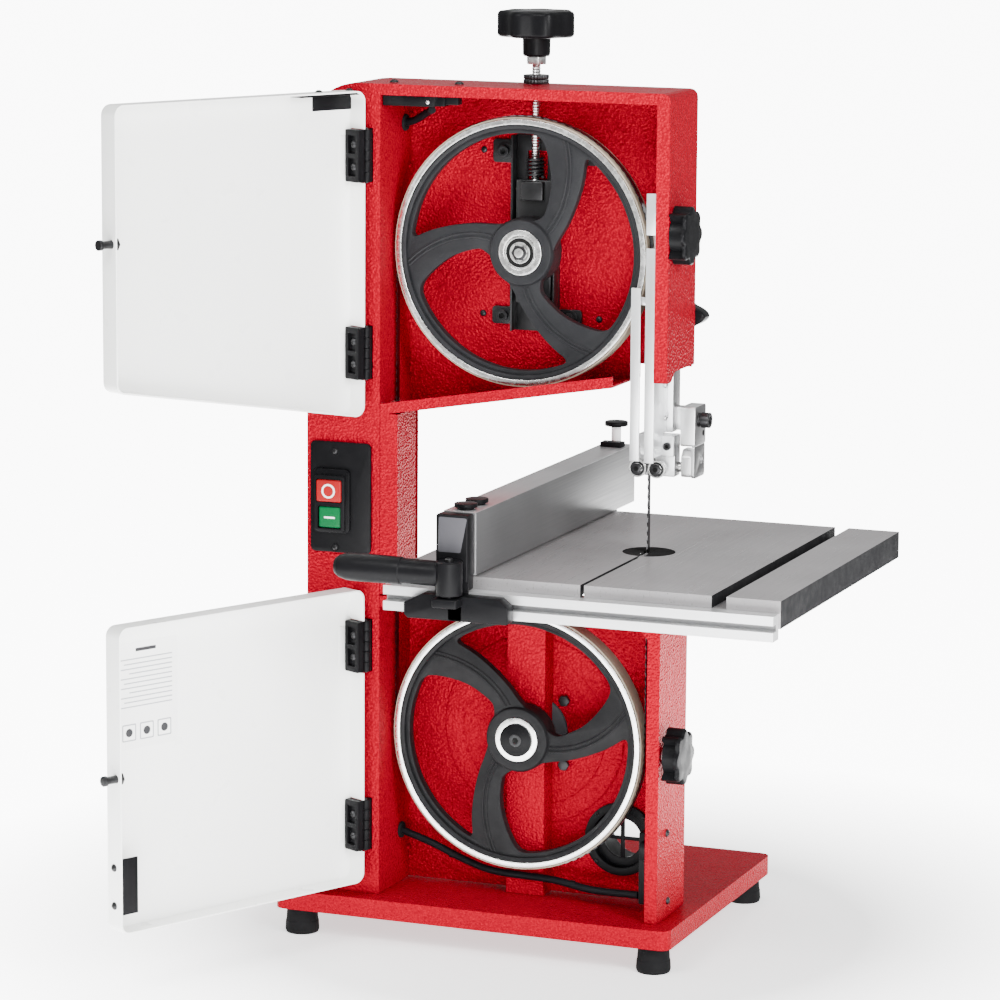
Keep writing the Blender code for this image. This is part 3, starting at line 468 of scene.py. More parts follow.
# ------------------------------------------------------------------ pieces
class Piece:
    """One visible object made of several closed shapes, each with its own material."""

    def __init__(self, name, body, *nodes, slot=None, door=False):
        self.name, self.body, self.nodes, self.finish, self.door = name, body, nodes, slot, door
        self.bm = bmesh.new()
        self.materials = []

    def add(self, bm, mat, matrix=None):
        if mat not in self.materials:
            self.materials.append(mat)
        index = self.materials.index(mat)
        for face in bm.faces:
            face.material_index = index
        if matrix is not None:
            bmesh.ops.transform(bm, matrix=matrix, verts=bm.verts)
        mesh = bpy.data.meshes.new("part")
        bm.to_mesh(mesh)
        bm.free()
        self.bm.from_mesh(mesh)
        bpy.data.meshes.remove(mesh)

    def slab(self, loops, lo, hi, across, mat, bevel=0.3):
        self.add(slab_mesh(loops, lo, hi, across, bevel), mat)

    def block(self, x, y, z, mat, bevel=0.3, steps=2):
        self.add(block_mesh(x, y, z, bevel, steps), mat)

    def lathe(self, profile, centre, axis, mat, steps=64, round_=0.3):
        spot = list(centre)
        spot.insert("XYZ".index(axis), 0)
        place = Matrix.Translation(spot) @ TURNED[axis]
        self.add(lathe_mesh(profile, steps, round_), mat, place)

    def tube(self, points, radius, mat, sides=12, smooth=True):
        self.add(tube_mesh(points, radius, sides, smooth), mat)

    def screw(self, spot, facing, kind="pan", radius=4.0, mat=None):
        """A fastener head standing on a surface at spot, facing along a direction."""
        mat = mat or ZINC
        place = Matrix.Translation(spot) @ Vector(facing).to_track_quat("Z", "Y").to_matrix().to_4x4()
        if kind == "hex":
            head = slab_mesh([circle(0, 0, radius, 6)], 0, radius * 0.75, "Z", 0.25)
            self.add(head, mat, place)
            cap = rect(0, 0, radius * 0.84, radius * 0.8)
            self.add(lathe_mesh(cap, 24, 0.2), mat, place)
        elif kind == "socket":
            cup = [(0, radius * 0.4), (radius * 0.52, radius * 0.4), (radius * 0.52, radius),
                   (radius, radius), (radius, 0), (0, 0)]
            self.add(lathe_mesh(cup, 28, 0.22), mat, place)
            # A dark hexagon: painted shade in the socket.
            socket = slab_mesh([circle(0, 0, radius * 0.5, 6)], radius * 0.35, radius * 0.45, "Z")
            self.add(socket, RECESS_SHADE, place)
        else:
            h = radius * 0.62
            dome = [(0, 0), (radius, 0)]
            for k in range(1, 8):
                a = math.radians(90 * k / 7)
                dome.append((radius * math.cos(a) if k < 7 else 0.0, h * math.sin(a)))
            self.add(lathe_mesh(dome, 28, 0), mat, place)
            # Dark bars: painted shade in the screw's slots.
            for turn in (0, 90):
                painted_shade_strip = block_mesh((-radius * 0.5, radius * 0.5), (-radius * 0.09, radius * 0.09),
                                    (h * 0.62, h), 0)
                self.add(painted_shade_strip, RECESS_SHADE, place @ Matrix.Rotation(math.radians(turn + 20), 4, "Z"))

    def done(self, sharp=36):
        matrix = TO_ROW @ DOOR_TURN if self.door else TO_ROW
        bmesh.ops.transform(self.bm, matrix=matrix, verts=self.bm.verts)
        mesh = bpy.data.meshes.new(self.name)
        self.bm.to_mesh(mesh)
        self.bm.free()
        for mat in self.materials:
            mesh.materials.append(mat)
        mesh.shade_smooth()
        mesh.set_sharp_from_angle(angle=math.radians(sharp))
        obj = bpy.data.objects.new(self.name, mesh)
        bpy.context.scene.collection.objects.link(obj)
        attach(obj, self.body)
        if self.nodes:
            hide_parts(*self.nodes)
        return obj


def dress(node, mat, bevel=0.0):
    """Keep a CAD node, give it its material and, where asked, broken edges."""
    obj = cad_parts[node]
    obj.data.materials.clear()
    obj.data.materials.append(mat)
    if bevel:
        edge = obj.modifiers.new("edges", "BEVEL")
        edge.width = bevel * MM
        edge.segments = 2
        edge.limit_method = "ANGLE"
        edge.angle_limit = math.radians(32)
        edge.harden_normals = False


def paint_sides_shaded(obj):
    """The +X sides of the guide castings get the darker alloy: painted shade, darker than their
    faces.
    """
    obj.data.materials.append(SHADED_ALLOY)
    for face in obj.data.polygons:
        name = obj.data.materials[face.material_index].name
        if face.normal.x > 0.85 and name.startswith("alloy_"):
            face.material_index = len(obj.data.materials) - 1


# ------------------------------------------------------------------ frame sheet metal
for node in ("frame_shell", "frame_column_wall", "frame_throat_panel", "frame_lower_wall"):
    dress(node, RED, 0.5)
dress("base_tray", RED, 0.6)
dress("frame_back_plate", RED)

trim = Piece("frame_trim", "frame", slot="red_paint")
# Pressed dish round the lower axle.
dish = [(58, 61.9), (60, 60.9), (73.5, 60.9), (76, 61.9)]
trim.lathe(dish, (0, LOWER), "Y", RED, 96, 0.3)
# Weld beads where the sheets meet.
for x, z in ((-90, 418.6), (-70, 422), (-48, 425.8), (-22, 430.2), (2, 434.4), (30, 439)):
    lump = lathe_mesh([(0, -1.1), (3.4, -0.5), (4.0, 0.2), (2.4, 1.2), (0, 1.5)], 20, 0.3)
    stretch = Matrix.Translation((x, 59.6, z + 0.6)) @ Matrix.Diagonal((1.5, 0.55, 1.0, 1.0))
    trim.add(lump, RED, stretch)
for z in (60, 130, 200, 250, 480, 540, 600, 640):
    lump = lathe_mesh([(0, -0.9), (2.8, -0.5), (3.2, 0.2), (2, 1.0), (0, 1.3)], 18, 0.3)
    trim.add(lump, RED, Matrix.Translation((-104.6, 58.5, z)) @ Matrix.Diagonal((0.5, 0.8, 1.7, 1)))
trim.done()

hardware = Piece("frame_hardware", "frame", slot="black_steel")
for x, y in ((-102, 19), (-50, 22)):
    hardware.screw((x, y, 667.2), (0, 0, 1), "pan", 3.6, BLACKENED)
for y, z in ((21.6, 103), (25, 49)):
    hardware.screw((124.0, y, z), (1, 0, 0), "pan", 3.1, BLACKENED)
for dz in (25.5, -25.5):
    for x in (-25.5, 25.5):
        hardware.screw((x, 60.8, LOWER + dz), (0, -1, 0), "hex", 4.6, BLACKENED)
for x in (-40, 55):
    for z in (615, 489):
        hardware.screw((x - 5, 61.6, z), (0, -1, 0), "pan", 2.6, BLACKENED)
for angle in (45, 135, 225, 315):
    a = math.radians(angle)
    hardware.screw((73 + 27 * math.cos(a), 57.9, 84 + 27 * math.sin(a)), (0, -1, 0), "pan", 1.7,
                   BLACKENED)
hardware.done()

grommets = Piece("cable_grommets", "frame", slot="black_rubber")
for y, z in ((48, 634.5), (44, 78)):
    grommets.lathe([(3.1, -107.6), (6.6, -107.6), (6.6, -106.9), (4.9, -106.9), (4.9, -105.2),
                    (6.6, -105.2), (6.2, -103.4), (3.1, -103.2)], (y, z), "X", RUBBER, 32)
grommets.lathe(rect(3.6, 666.0, 4.4, 667.3), (0, 54), "Z", RUBBER, 32)
grommets.done()

for side, x, y in (("front_left", -170.3, -0.4), ("front_right", 122.3, -0.4),
                   ("rear_left", -170.3, 220.7), ("rear_right", 122.3, 220.7)):
    foot = Piece("foot_rubber_" + side, "frame", "foot_" + side, slot="black_rubber")
    foot.lathe([(0, 34.4), (5.9, 34.4), (5.9, 20.5), (11.9, 20.5), (12.1, 16.6), (12.6, 10),
                (13.0, 9.2), (13.4, 2.4), (12.6, 0), (8.5, 0), (8.5, 1.6), (0, 1.6)],
               (x, y), "Z", RUBBER, 56, 0.6)
    foot.done()

# ------------------------------------------------------------------ motor and dust port
motor = Piece("motor", "frame", "motor_housing", slot="grey_motor")
motor.lathe([(7.4, 60), (27.4, 60), (27.4, 63.9), (50, 63.9), (57.5, 68), (58.6, 74), (58.6, 78),
             (7.4, 78)], (0, LOWER), "Y", MOTOR, 72, 0.8)
motor.lathe(rect(0, 77, 55.5, 162), (0, LOWER), "Y", MOTOR, 72, 0.5)
for k in range(40):
    a = math.tau * k / 40
    if 0.32 < (a % math.tau) < 2.83 and 60 < math.degrees(a) < 120:
        continue
    fin = block_mesh((54.5, 59.7), (79, 158), (-0.8, 0.8), 0.25)
    turn = Matrix.Translation((0, 0, LOWER)) @ Matrix.Rotation(-a, 4, "Y")
    motor.add(fin, MOTOR, turn)
cover = [(0, 189.9), (53.5, 189.9), (56.8, 186), (56.8, 160), (55, 160), (55, 184), (0, 184)]
motor.lathe(cover, (0, LOWER), "Y", BLACK, 72, 0.8)
# Dark bars on the fan cover: painted shade in its vent slots.
for ring_r, count in ((14, 8), (26, 14), (38, 20)):
    for k in range(count):
        a = math.tau * k / count
        slot_mesh = block_mesh((ring_r - 4, ring_r + 4), (189.3, 189.98), (-1.1, 1.1), 0.3)
        motor.add(slot_mesh, RECESS_SHADE, Matrix.Translation((0, 0, LOWER)) @ Matrix.Rotation(a, 4, "Y"))
motor.block((-29.9, 29.9), (88, 149.8), (216, 242.8), MOTOR, 2.2, 3)
motor.block((-28, 28), (90, 148), (238, 242.9), BLACK, 1.2)
motor.block((26, 45.5), (114.5, 125.5), (222.5, 233.5), MOTOR, 1.0)
motor.lathe(rect(0, 112.2, 5.9, 127.8), (45, 228), "Y", BLACK, 32, 0.8)
motor.done()

port = Piece("dust_outlet", "frame", "dust_port", slot="black_plastic")
port.lathe([(22.5, 58.1), (28.9, 58.1), (28.9, 61.3), (24.9, 61.3), (24.9, 98), (24.4, 99),
            (24.9, 100), (24.9, 104.9), (22.6, 104.9)], (73, 84), "Y", BLACK, 64, 0.4)
port.lathe(rect(15.5, 64, 22.7, 66.4), (73, 84), "Y", BLACK, 64, 0.3)
port.block((71.4, 74.6), (64.2, 66.2), (66.5, 101.5), BLACK, 0.3)
port.block((56, 90), (64.4, 66.0), (82.6, 85.4), BLACK, 0.3)
port.done()

# ------------------------------------------------------------------ safety switches and cables
switches = Piece("upper_limit_switch", "frame", "upper_safety_switch", slot="black_plastic")
switches.block((-104.8, -62), (2.6, 15.9), (650.7, 664.8), BLACK, 1.2)
switches.block((-63, -54.2), (3.2, 15.2), (651.4, 664), GLOSS_BLACK, 0.8)
switches.block((-56, -44.1), (5.1, 13.9), (652.6, 662.9), BLACK, 0.8)
switches.block((-98, -70), (2.55, 3.4), (654, 661), GLOSS_BLACK, 0.2)
switches.screw((-99.5, 2.9, 661.2), (0, -1, 0), "pan", 1.7)
switches.screw((-68, 2.9, 654.2), (0, -1, 0), "pan", 1.7)
switches.done()
switches = Piece("lower_limit_switch", "frame", "lower_safety_switch", slot="black_plastic")
switches.block((104.6, 122.1), (12.1, 33.9), (47.1, 103.9), BLACK, 1.2)
switches.block((108.1, 118.9), (4.1, 14), (84.1, 97.9), GLOSS_BLACK, 0.8)
switches.block((104.55, 105.4), (15, 31), (60, 90), GLOSS_BLACK, 0.2)
switches.screw((105.0, 16, 99), (-1, 0, 0), "pan", 1.7)
switches.screw((105.0, 30, 52), (-1, 0, 0), "pan", 1.7)
switches.done()
lead = Piece("upper_switch_lead", "frame", "upper_switch_cable", slot="black_plastic")
lead.tube([(-105, 48, 634.5), (-95, 44, 637), (-80, 34, 644.5), (-72, 22, 647)], 2.9, CABLE, 16)
lead.done()
lead = Piece("lower_switch_lead", "frame", "lower_switch_cable", slot="black_plastic")
lead.tube([(-105, 44, 78), (-78, 43, 70), (-50, 41, 60), (-22, 38, 54), (25, 38, 52),
           (60, 32, 49), (101, 24, 51)], 2.9, CABLE, 16)
for x, y, z in ((-60, 42, 63), (42, 35.8, 50.8)):
    lead.lathe(rect(2.8, x - 2.2, 3.0, x + 2.2), (y, z), "X", BLACK, 20, 0)
lead.done()

# ------------------------------------------------------------------ switch plate and buttons
panel = Piece("switch_panel", "frame", "switch_plate", slot="black_plastic")


def key_wells(grow, radius):
    """The two openings that the keys stand in."""
    wells = []
    for x0, z0, x1, z1 in ((-155.6, 344.8, -134, 362.7), (-154, 324.4, -134.9, 341.7)):
        outline = rect(x0 - grow, z0 - grow, x1 + grow, z1 + grow)
        wells.append(slab_mesh([fillet(outline, radius) if radius else outline], -9, 14, "Y"))
    return wells


panel_body = block_mesh((-157.3, -132.2), (-2, 21.9), (322.2, 364.8), 0)
face = slab_mesh([fillet(rect(-162, 305.3, -111.7, 391.6), 4, 6)], -3, -0.3, "Y", 0.6)
rim = slab_mesh([fillet(rect(-158, 321, -128, 371), 4, 6)], -6, -2.5, "Y", 0.8)
bezel = slab_mesh([fillet(rect(-157, 322.4, -131.6, 366), 2.5, 5)], -7.4, -5.8, "Y", 0.5)
for part, grow, radius, mat in ((panel_body, 0, 0, BLACK), (face, 0, 0, BLACK),
                                (rim, 0.1, 1.2, GLOSS_BLACK), (bezel, 0.1, 1.2, BLACK)):
    panel.add(carved(part, *key_wells(grow, radius)), mat)
panel.block((-130.6, -129.2), (-6.5, -5.8), (324, 368), BLACK, 0.2)
for z in (384.3, 309.2):
    panel.lathe(rect(2.4, -3.25, 3.5, -2.8), (-141.2, z), "Y", BLACK, 32, 0.1)
    panel.screw((-141.2, -2.9, z), (0, -1, 0), "pan", 2.3, BLACKENED)
panel.done()

stop = Piece("stop_key", "stop_button", "stop_button", slot="red_button")
stop.block((-155.2, -134.4), (-8.0, 8.9), (345.2, 362.3), STOP, 1.4, 3)
stop.lathe(rect(4.2, -8.3, 5.6, -7.8), (-144.8, 353.7), "Y", MARK, 40, 0.1)
stop.done()
start = Piece("start_key", "start_button", "start_button", slot="green_button")
start.block((-153.6, -135.3), (-6.6, 8.9), (324.8, 341.3), START, 1.4, 3)
start.block((-148.8, -140.0), (-6.9, -6.3), (332.2, 333.6), MARK, 0.1)
start.done()

# ------------------------------------------------------------------ blade
TOOTH_PITCH = 3.4
band = bmesh.new()
turns = [math.radians(180 * k / 96) for k in range(97)]
straight = int((UPPER - LOWER) / TOOTH_PITCH)
drops = [(UPPER - LOWER) * k / straight for k in range(1, straight)]
outline = [(math.cos(a), math.sin(a), UPPER) for a in turns]
outline += [(-1.0, 0.0, UPPER - drop) for drop in drops]
outline += [(math.cos(a + math.pi), math.sin(a + math.pi), LOWER) for a in turns]
outline += [(1.0, 0.0, LOWER + drop) for drop in drops]
loops = []
for k, (c, s, z) in enumerate(outline):
    tip = 26.85 if k % 2 else 28.4
    row = []
    for r, y in ((102.72, tip), (103.28, tip), (103.28, 33.15), (102.72, 33.15)):
        row.append(band.verts.new((r * c, y, z + r * s)))
    loops.append(row)
for low, high in zip(loops, loops[1:] + loops[:1]):
    for j in range(4):
        n = (j + 1) % 4
        band.faces.new((low[j], low[n], high[n], high[j]))
outwards(band)
blade = Piece("toothed_blade", "frame", "saw_blade", slot="steel")
blade.add(band, BLADE)
blade.done(30)

# ------------------------------------------------------------------ wheels
def ridge(base_angle, radius):
    """Direction of a swept spoke's middle at a radius, in degrees."""
    return base_angle + 0.458 * (radius - 21.4)


def wheel_window(cz, base_angle):
    def polar(radius, degrees):
        a = math.radians(degrees)
        return radius * math.cos(a), cz + radius * math.sin(a)

    out = []
    for r in (29, 42, 58, 76, 90.5):
        lead_angle = 17.5 if r < 35 else 15.5 if r < 50 else 13.6
        out.append(polar(r, ridge(base_angle, r) + lead_angle))
    first = ridge(base_angle, 90.5) + 13.6
    last = ridge(base_angle, 90.5) + 112
    for step in range(1, 9):
        out.append(polar(90.5, first + (last - first) * step / 9))
    for r in (90.5, 76, 58, 42, 29):
        trail = 22 if r < 35 else 14 if r < 50 else 10.5
        out.append(polar(r, ridge(base_angle, r) + 120 - trail))
    for _ in range(3):
        smooth = []
        for (x0, y0), (x1, y1) in zip(out, out[1:] + out[:1]):
            smooth.append((x0 * 0.75 + x1 * 0.25, y0 * 0.75 + y1 * 0.25))
            smooth.append((x0 * 0.25 + x1 * 0.75, y0 * 0.25 + y1 * 0.75))
        out = smooth
    return out


def make_wheel(level, cz, base_angle, bore, back, paint):
    body = level + "_wheel"
    piece = Piece(level + "_spoked_wheel", body, level + "_wheel", slot="cast_wheel")
    windows = [wheel_window(cz, base_angle + 120 * k) for k in range(3)]
    piece.slab([circle(0, cz, 95, 128), circle(0, cz, 18, 64)] + windows, 25.1, 32.9, "Y", paint,
               1.1)
    piece.lathe([(93.4, 22.6), (97.05, 21.5), (97.05, 38.6), (93.4, 37.4)], (0, cz), "Y", paint,
                144, 0.8)
    piece.lathe(rect(97.0, 21.25, 100.95, 38.95), (0, cz), "Y", RIM[level], 144, 0.4)
    piece.lathe([(17.2, 22.4), (24.5, 22.4), (25.9, 25.6), (25.9, back - 0.6), (17.2, back - 0.6)],
                (0, cz), "Y", paint, 96, 1.0)
    piece.lathe(rect(bore + 0.02, 22.05, 17.25, back - 0.1), (0, cz), "Y", RIM[level], 96, 0.4)
    for k in range(3):
        for side in (-1.7, 1.7):
            points = []
            for step in range(12):
                r = 27 + (93 - 27) * step / 11
                a = math.radians(ridge(base_angle + 120 * k, r)) + side / r
                points.append((r * math.cos(a), 25.15, cz + r * math.sin(a)))
            piece.tube(points, 1.0, paint, 8)
    piece.done(40)
    tyre = Piece(level + "_rubber_tyre", body, level + "_tyre", slot="wheel_tyre")
    tyre.lathe([(101.28, 22.05), (102.38, 22.5), (102.38, 38.1), (101.28, 38.55)], (0, cz), "Y",
               TYRE, 144, 0.25)
    tyre.done()


make_wheel("upper", UPPER, 155, 13.0, 45.0, CAST_UPPER)
make_wheel("lower", LOWER, 105.4, 7.3, 42.5, CAST_LOWER_SHADED)

bearing = Piece("upper_ball_bearing", "upper_wheel", "upper_wheel_bearing", slot="steel")
bearing.lathe(rect(11.2, 21.6, 12.68, 30.9), (0, UPPER), "Y", ZINC, 64)
bearing.lathe(rect(6.52, 21.6, 8.2, 30.9), (0, UPPER), "Y", ZINC, 64)
# A dark ring: painted shade in the gap between the races.
bearing.lathe(rect(8.0, 22.2, 11.4, 30.2), (0, UPPER), "Y", RECESS_SHADE, 64)
bearing.done()

shaft = Piece("motor_shaft_cap", "lower_wheel", "motor_shaft", slot="steel")
shaft.lathe(rect(0, 21.6, 6.98, 129.8), (0, LOWER), "Y", ZINC, 48)
shaft.lathe(rect(0, 20.15, 12.9, 21.65), (0, LOWER), "Y", GLOSS_BLACK, 64, 0.4)
cup = [(0, 20.0), (2.6, 20.0), (2.6, 19.72), (4.9, 19.72), (4.9, 20.4), (0, 20.4)]
shaft.lathe(cup, (0, LOWER), "Y", BLACKENED, 40, 0.1)
# A dark hexagon: painted shade in the socket.
shaft.slab([circle(0, LOWER, 2.5, 6)], 19.95, 20.05, "Y", RECESS_SHADE, 0)
shaft.done()

# ------------------------------------------------------------------ tension gear
bracket = Piece("tension_channel", "frame", "tension_bracket", slot="black_steel")
plate_mesh = slab_mesh([rect(-18, 478, 18, 628), rect(-8, 585, 8, 616), circle(0, UPPER, 4, 32)],
                       58.45, 61.35, "Y", 0.3)
bracket.add(plate_mesh, BLACKENED)
for x in (-17.95, 16.45):
    bracket.block((x, x + 1.5), (48.05, 60), (478.1, 627.9), BLACKENED, 0.3)
for x0, x1, z0, z1 in ((-36.5, -17, 606, 624), (-36.5, -17, 482, 495.5), (17, 48, 606, 624),
                       (17, 36.5, 482, 495.5)):
    bracket.slab([fillet(rect(x0, z0, x1, z1), 2.5, 5)], 58.5, 61.3, "Y", BLACKENED, 0.3)
    middle = (x0 + x1) / 2 + (5 if x1 > 40 else 0)
    bracket.lathe(rect(0, 57.6, 6.6, 58.7), (middle, (z0 + z1) / 2), "Y", BLACKENED, 36, 0.2)
    bracket.screw((middle, 57.8, (z0 + z1) / 2), (0, -1, 0), "socket", 4.4, BLACKENED)
bracket.done()

slider = Piece("axle_slider", "tension_carrier", "tension_slider", slot="black_steel")
slab_part = block_mesh((-14.4, 14.4), (50.1, 57.9), (500.1, 594.4), 0.8)
hole = slab_mesh([circle(0, 54, 3.8, 32)], 565, 600, "Z")
slider.add(carved(slab_part, hole), BLACKENED)
nut = block_mesh((-8.9, 8.9), (45.6, 56.9), (579.1, 593.4), 0.9)
hole = slab_mesh([circle(0, 54, 3.8, 32)], 565, 600, "Z")
slider.add(carved(nut, hole), BLACKENED)
slider.lathe([(0, 21.0), (6.1, 21.0), (6.15, 51), (0, 51)], (0, UPPER), "Y", ZINC, 48, 0.2)
slider.lathe(rect(0, 45.6, 12, 50.4), (0, UPPER), "Y", BLACKENED, 48, 0.5)
slider.slab([circle(0, UPPER, 6.3, 6)], 19.9, 21.4, "Y", BLACKENED, 0.2)
slider.lathe(rect(0, 18.95, 3.5, 21), (0, UPPER), "Y", ZINC, 40, 0.4)
slider.done()

spring = Piece("coil_spring", "tension_carrier", "tension_spring", slot="steel")
coil = []
for k in range(5 * 20 + 1):
    a = math.tau * k / 20
    coil.append((5.75 * math.cos(a), 54 + 5.75 * math.sin(a), 596.4 + 14.4 * k / 100))
spring.tube(coil, 1.1, BLACKENED, 10, smooth=False)
spring.done()

knob = Piece("tension_handwheel", "tension_knob", "tension_knob", slot="black_plastic")
top = slab_mesh([lobed(0, 54, 29.8, 3.4, 7, 18)], 702.6, 722.5, "Z", 0)
round_over(top, 3.2, 5)
knob.add(top, BLACK)
knob.lathe([(0, 704), (11.5, 704), (10.6, 700), (10.4, 689.5), (9.6, 688.1), (0, 688.1)], (0, 54),
           "Z", BLACK, 64, 0.6)
knob.lathe([(0, 722.3), (13, 722.3), (14.2, 722.58), (0, 722.58)], (0, 54), "Z", GLOSS_BLACK, 64, 0)
knob.slab([circle(0, 54, 7.9, 6)], 682.0, 688.3, "Z", ZINC, 0.4)
rod_profile = [(0, 685)]
for k in range(100):
    z = 684 - k * 1.06
    rod_profile.append((3.35 if k % 2 else 2.9, z))
rod_profile += [(2.8, 578.2), (0, 578.2)]
knob.lathe(rod_profile, (0, 54), "Z", ZINC, 28, 0)
for low in (667.55, 671.0):
    disc = [lobed(0, 54, 9.9, 0.7, 24, 4)]
    knob.slab(disc, low, low + 3.0, "Z", DARK_STEEL, 0.3)
knob.done(34)

tracking = Piece("tracking_handwheel", "tracking_knob", "tracking_knob", slot="black_plastic")
top = slab_mesh([lobed(0, UPPER, 17.9, 1.5, 8, 12)], 68, 81.9, "Y", 0)
round_over(top, 1.8)
tracking.add(top, BLACK)
tracking.lathe([(0, 58.5), (3.55, 58.5), (3.55, 64.2), (7.9, 64.2), (7.9, 69), (0, 69)],
               (0, UPPER), "Y", ZINC, 40)
tracking.done()

# ------------------------------------------------------------------ blade guide
post = Piece("guide_bar", "guide_post", "guide_post", slot="alloy")
post.block((97.1, 116.9), (43.1, 59.9), (408.6, 584.9), ALLOY_Z, 1.0)
paint_sides_shaded(post.done())
arm = Piece("guide_side_arm", "guide_post", slot="alloy")
arm.block((115.05, 125.95), (48.1, 57.9), (410.1, 427.9), ALLOY_X, 0.8)
paint_sides_shaded(arm.done())
head = Piece("guide_head_block", "guide_post", slot="alloy")
outline = fillet(rect(36.1, 399.6, 61.9, 429.9), 2.2, 5)
head.slab([outline], 125.1, 136.9, "X", ALLOY_Y, 0.7)
head.lathe([(0, 136.5), (5.4, 136.5), (5.4, 138.4), (4.3, 138.4), (4.3, 139.4), (5.9, 139.4),
            (5.9, 145.9), (3.2, 145.9), (3.2, 142), (0, 142)], (45, 419.5), "X", DARK_STEEL, 44, 0.3)
# A dark hexagon and a dark disc: painted shade in the socket and in a hole.
head.slab([circle(45, 419.5, 2.9, 6)], 141.9, 142.4, "X", RECESS_SHADE, 0)
head.lathe(rect(0, 136.7, 2.2, 137.0), (56, 408), "X", RECESS_SHADE, 32, 0)
paint_sides_shaded(head.done())
side = Piece("guide_cheek", "guide_post", slot="alloy")
outline = fillet(rect(36.6, 375.3, 61.4, 400.4), 3.0, 5)
side.slab([outline, circle(53, 388, 3.2, 36)], 134.1, 136.4, "X", ALLOY_Y, 0.3)
paint_sides_shaded(side.done())
carrier = Piece("guide_carrier_casting", "guide_post", slot="alloy")
outline = fillet([(37.1, 375.9), (57.9, 375.9), (57.9, 388.5), (52.5, 396.9), (41.5, 396.9),
                  (37.1, 391.5)], 2.6, 6)
carrier.slab([outline], 125.6, 134.4, "X", ALLOY_Y, 0.6)
paint_sides_shaded(carrier.done())

guard = Piece("guard_strips", "guide_post", "blade_guard", slot="alloy")
guard.block((93.25, 100.65), (12.05, 13.6), (390.1, 520.9), ALLOY_Z, 0.35)
guard.block((93.25, 94.6), (12.6, 15.95), (390.1, 520.9), ALLOY_Z, 0.3)
guard.block((104.55, 112.25), (12.05, 13.6), (389.1, 551), ALLOY_Z, 0.35)
guard.block((104.55, 112.25), (12.05, 13.6), (561, 591.9), ALLOY_Z, 0.35)
guard.block((93.75, 112), (15.0, 17.9), (395.1, 400.9), ALLOY_X, 0.3)
guard.block((93.75, 112), (15.0, 17.9), (508.1, 513.9), ALLOY_X, 0.3)
for low, high in ((397, 399), (509, 513)):
    guard.block((97, 99.8), (13.2, 15.4), (low, high), ALLOY_X, 0.2)
    guard.block((106, 109), (13.2, 15.4), (low, high), ALLOY_X, 0.2)
web = [(13, 393.1), (33.6, 393.1), (33.6, 409.1), (42.6, 409.1), (42.6, 454.9), (39.2, 454.9),
       (39.2, 591.9), (13, 591.9)]
guard.slab([fillet(web, 2, 4)], 110.85, 112.25, "X", ALLOY_Z, 0.3)
guard.screw((112.2, 39.5, 420), (1, 0, 0), "pan", 2.2)
guard.screw((112.2, 39.5, 445), (1, 0, 0), "pan", 2.2)
guard.done()

holder = Piece("guide_holder", "guide_post", "guide_block", slot="alloy")
core = block_mesh((92.1, 121.9), (34.1, 46.9), (376.1, 407.9), 1.0)
pocket = block_mesh((99.8, 106.2), (32, 48.5), (383, 401), 0)
holder.add(carved(core, pocket), ALLOY_Z)
holder.lathe(rect(0, 96, 1.95, 110), (40.5, 392), "X", ZINC, 24, 0)
holder.lathe(rect(0, 121.5, 3.9, 125.3), (42, 383), "X", ZINC, 36, 0.3)
for x in (95.4, 110.6):
    pin = [(0, 23.2), (2.5, 23.2), (2.5, 29.35), (4.1, 29.35), (4.1, 36), (0, 36)]
    holder.lathe(pin, (x, 382.9), "Y", DARK_STEEL, 32, 0.2)
    holder.slab([circle(x, 382.9, 4.3, 6)], 21.45, 23.6, "Y", DARK_STEEL, 0.3)
    # A dark hexagon: painted shade in the socket.
    holder.slab([circle(x, 382.9, 2.1, 6)], 21.4, 21.5, "Y", RECESS_SHADE, 0)
holder.block((112, 121.8), (31.0, 34.3), (392, 407.8), ALLOY_Z, 0.5)
holder.screw((117, 31.1, 400), (0, -1, 0), "socket", 3.0, BLACKENED)
holder.block((92.2, 99), (31.5, 34.3), (394, 407.8), ALLOY_Z, 0.5)
paint_sides_shaded(holder.done())
for side, x in (("left", 95.4), ("right", 110.6)):
    roller = Piece("guide_roller_" + side, "guide_bearing_" + side, "guide_bearing_" + side,
                   slot="steel")
    roller.lathe(rect(5.6, 24.05, 6.95, 28.95), (x, 382.9), "Y", ZINC, 48, 0.25)
    roller.lathe(rect(2.85, 24.05, 4.0, 28.95), (x, 382.9), "Y", ZINC, 48, 0.2)
    roller.lathe(rect(3.9, 24.4, 5.7, 28.6), (x, 382.9), "Y", DARK_STEEL, 48, 0)
    roller.done()
roller = Piece("thrust_roller", "thrust_bearing", "thrust_bearing", slot="steel")
roller.lathe(rect(5.6, 100.55, 6.95, 105.45), (40.5, 392), "X", ZINC, 48, 0.25)
roller.lathe(rect(2.35, 100.6, 5.7, 105.4), (40.5, 392), "X", DARK_STEEL, 48, 0.2)
roller.done()


def star_knob(piece, cx, cz, outer, depth, lo, hi):
    mesh = slab_mesh([lobed(cx, cz, outer, depth, 5, 18, 0.8)], lo, hi, "Y", 0)
    round_over(mesh, (hi - lo) * 0.16)
    piece.add(mesh, BLACK)


knob = Piece("guide_lock_star", "guide_lock", "guide_lock_knob", slot="black_plastic")
star_knob(knob, 107, 494, 24.9, 9, 69, 83.9)
knob.lathe([(0, 60.5), (3.55, 60.5), (3.55, 64.1), (8.9, 64.1), (9.4, 70), (0, 70)], (107, 494),
           "Y", ZINC, 40)
knob.done()
knob = Piece("tilt_lock_star", "tilt_lock", "tilt_lock_knob", slot="black_plastic")
star_knob(knob, 77, 279.4, 14.9, 4, 67, 83.9)
knob.lathe([(0, 53.1), (3.25, 53.1), (3.25, 60.6), (4.9, 60.6), (4.9, 64.1), (6.9, 64.1), (6.9, 68),
            (0, 68)], (77, 279.4), "Y", ZINC, 32, 0.2)
knob.done()


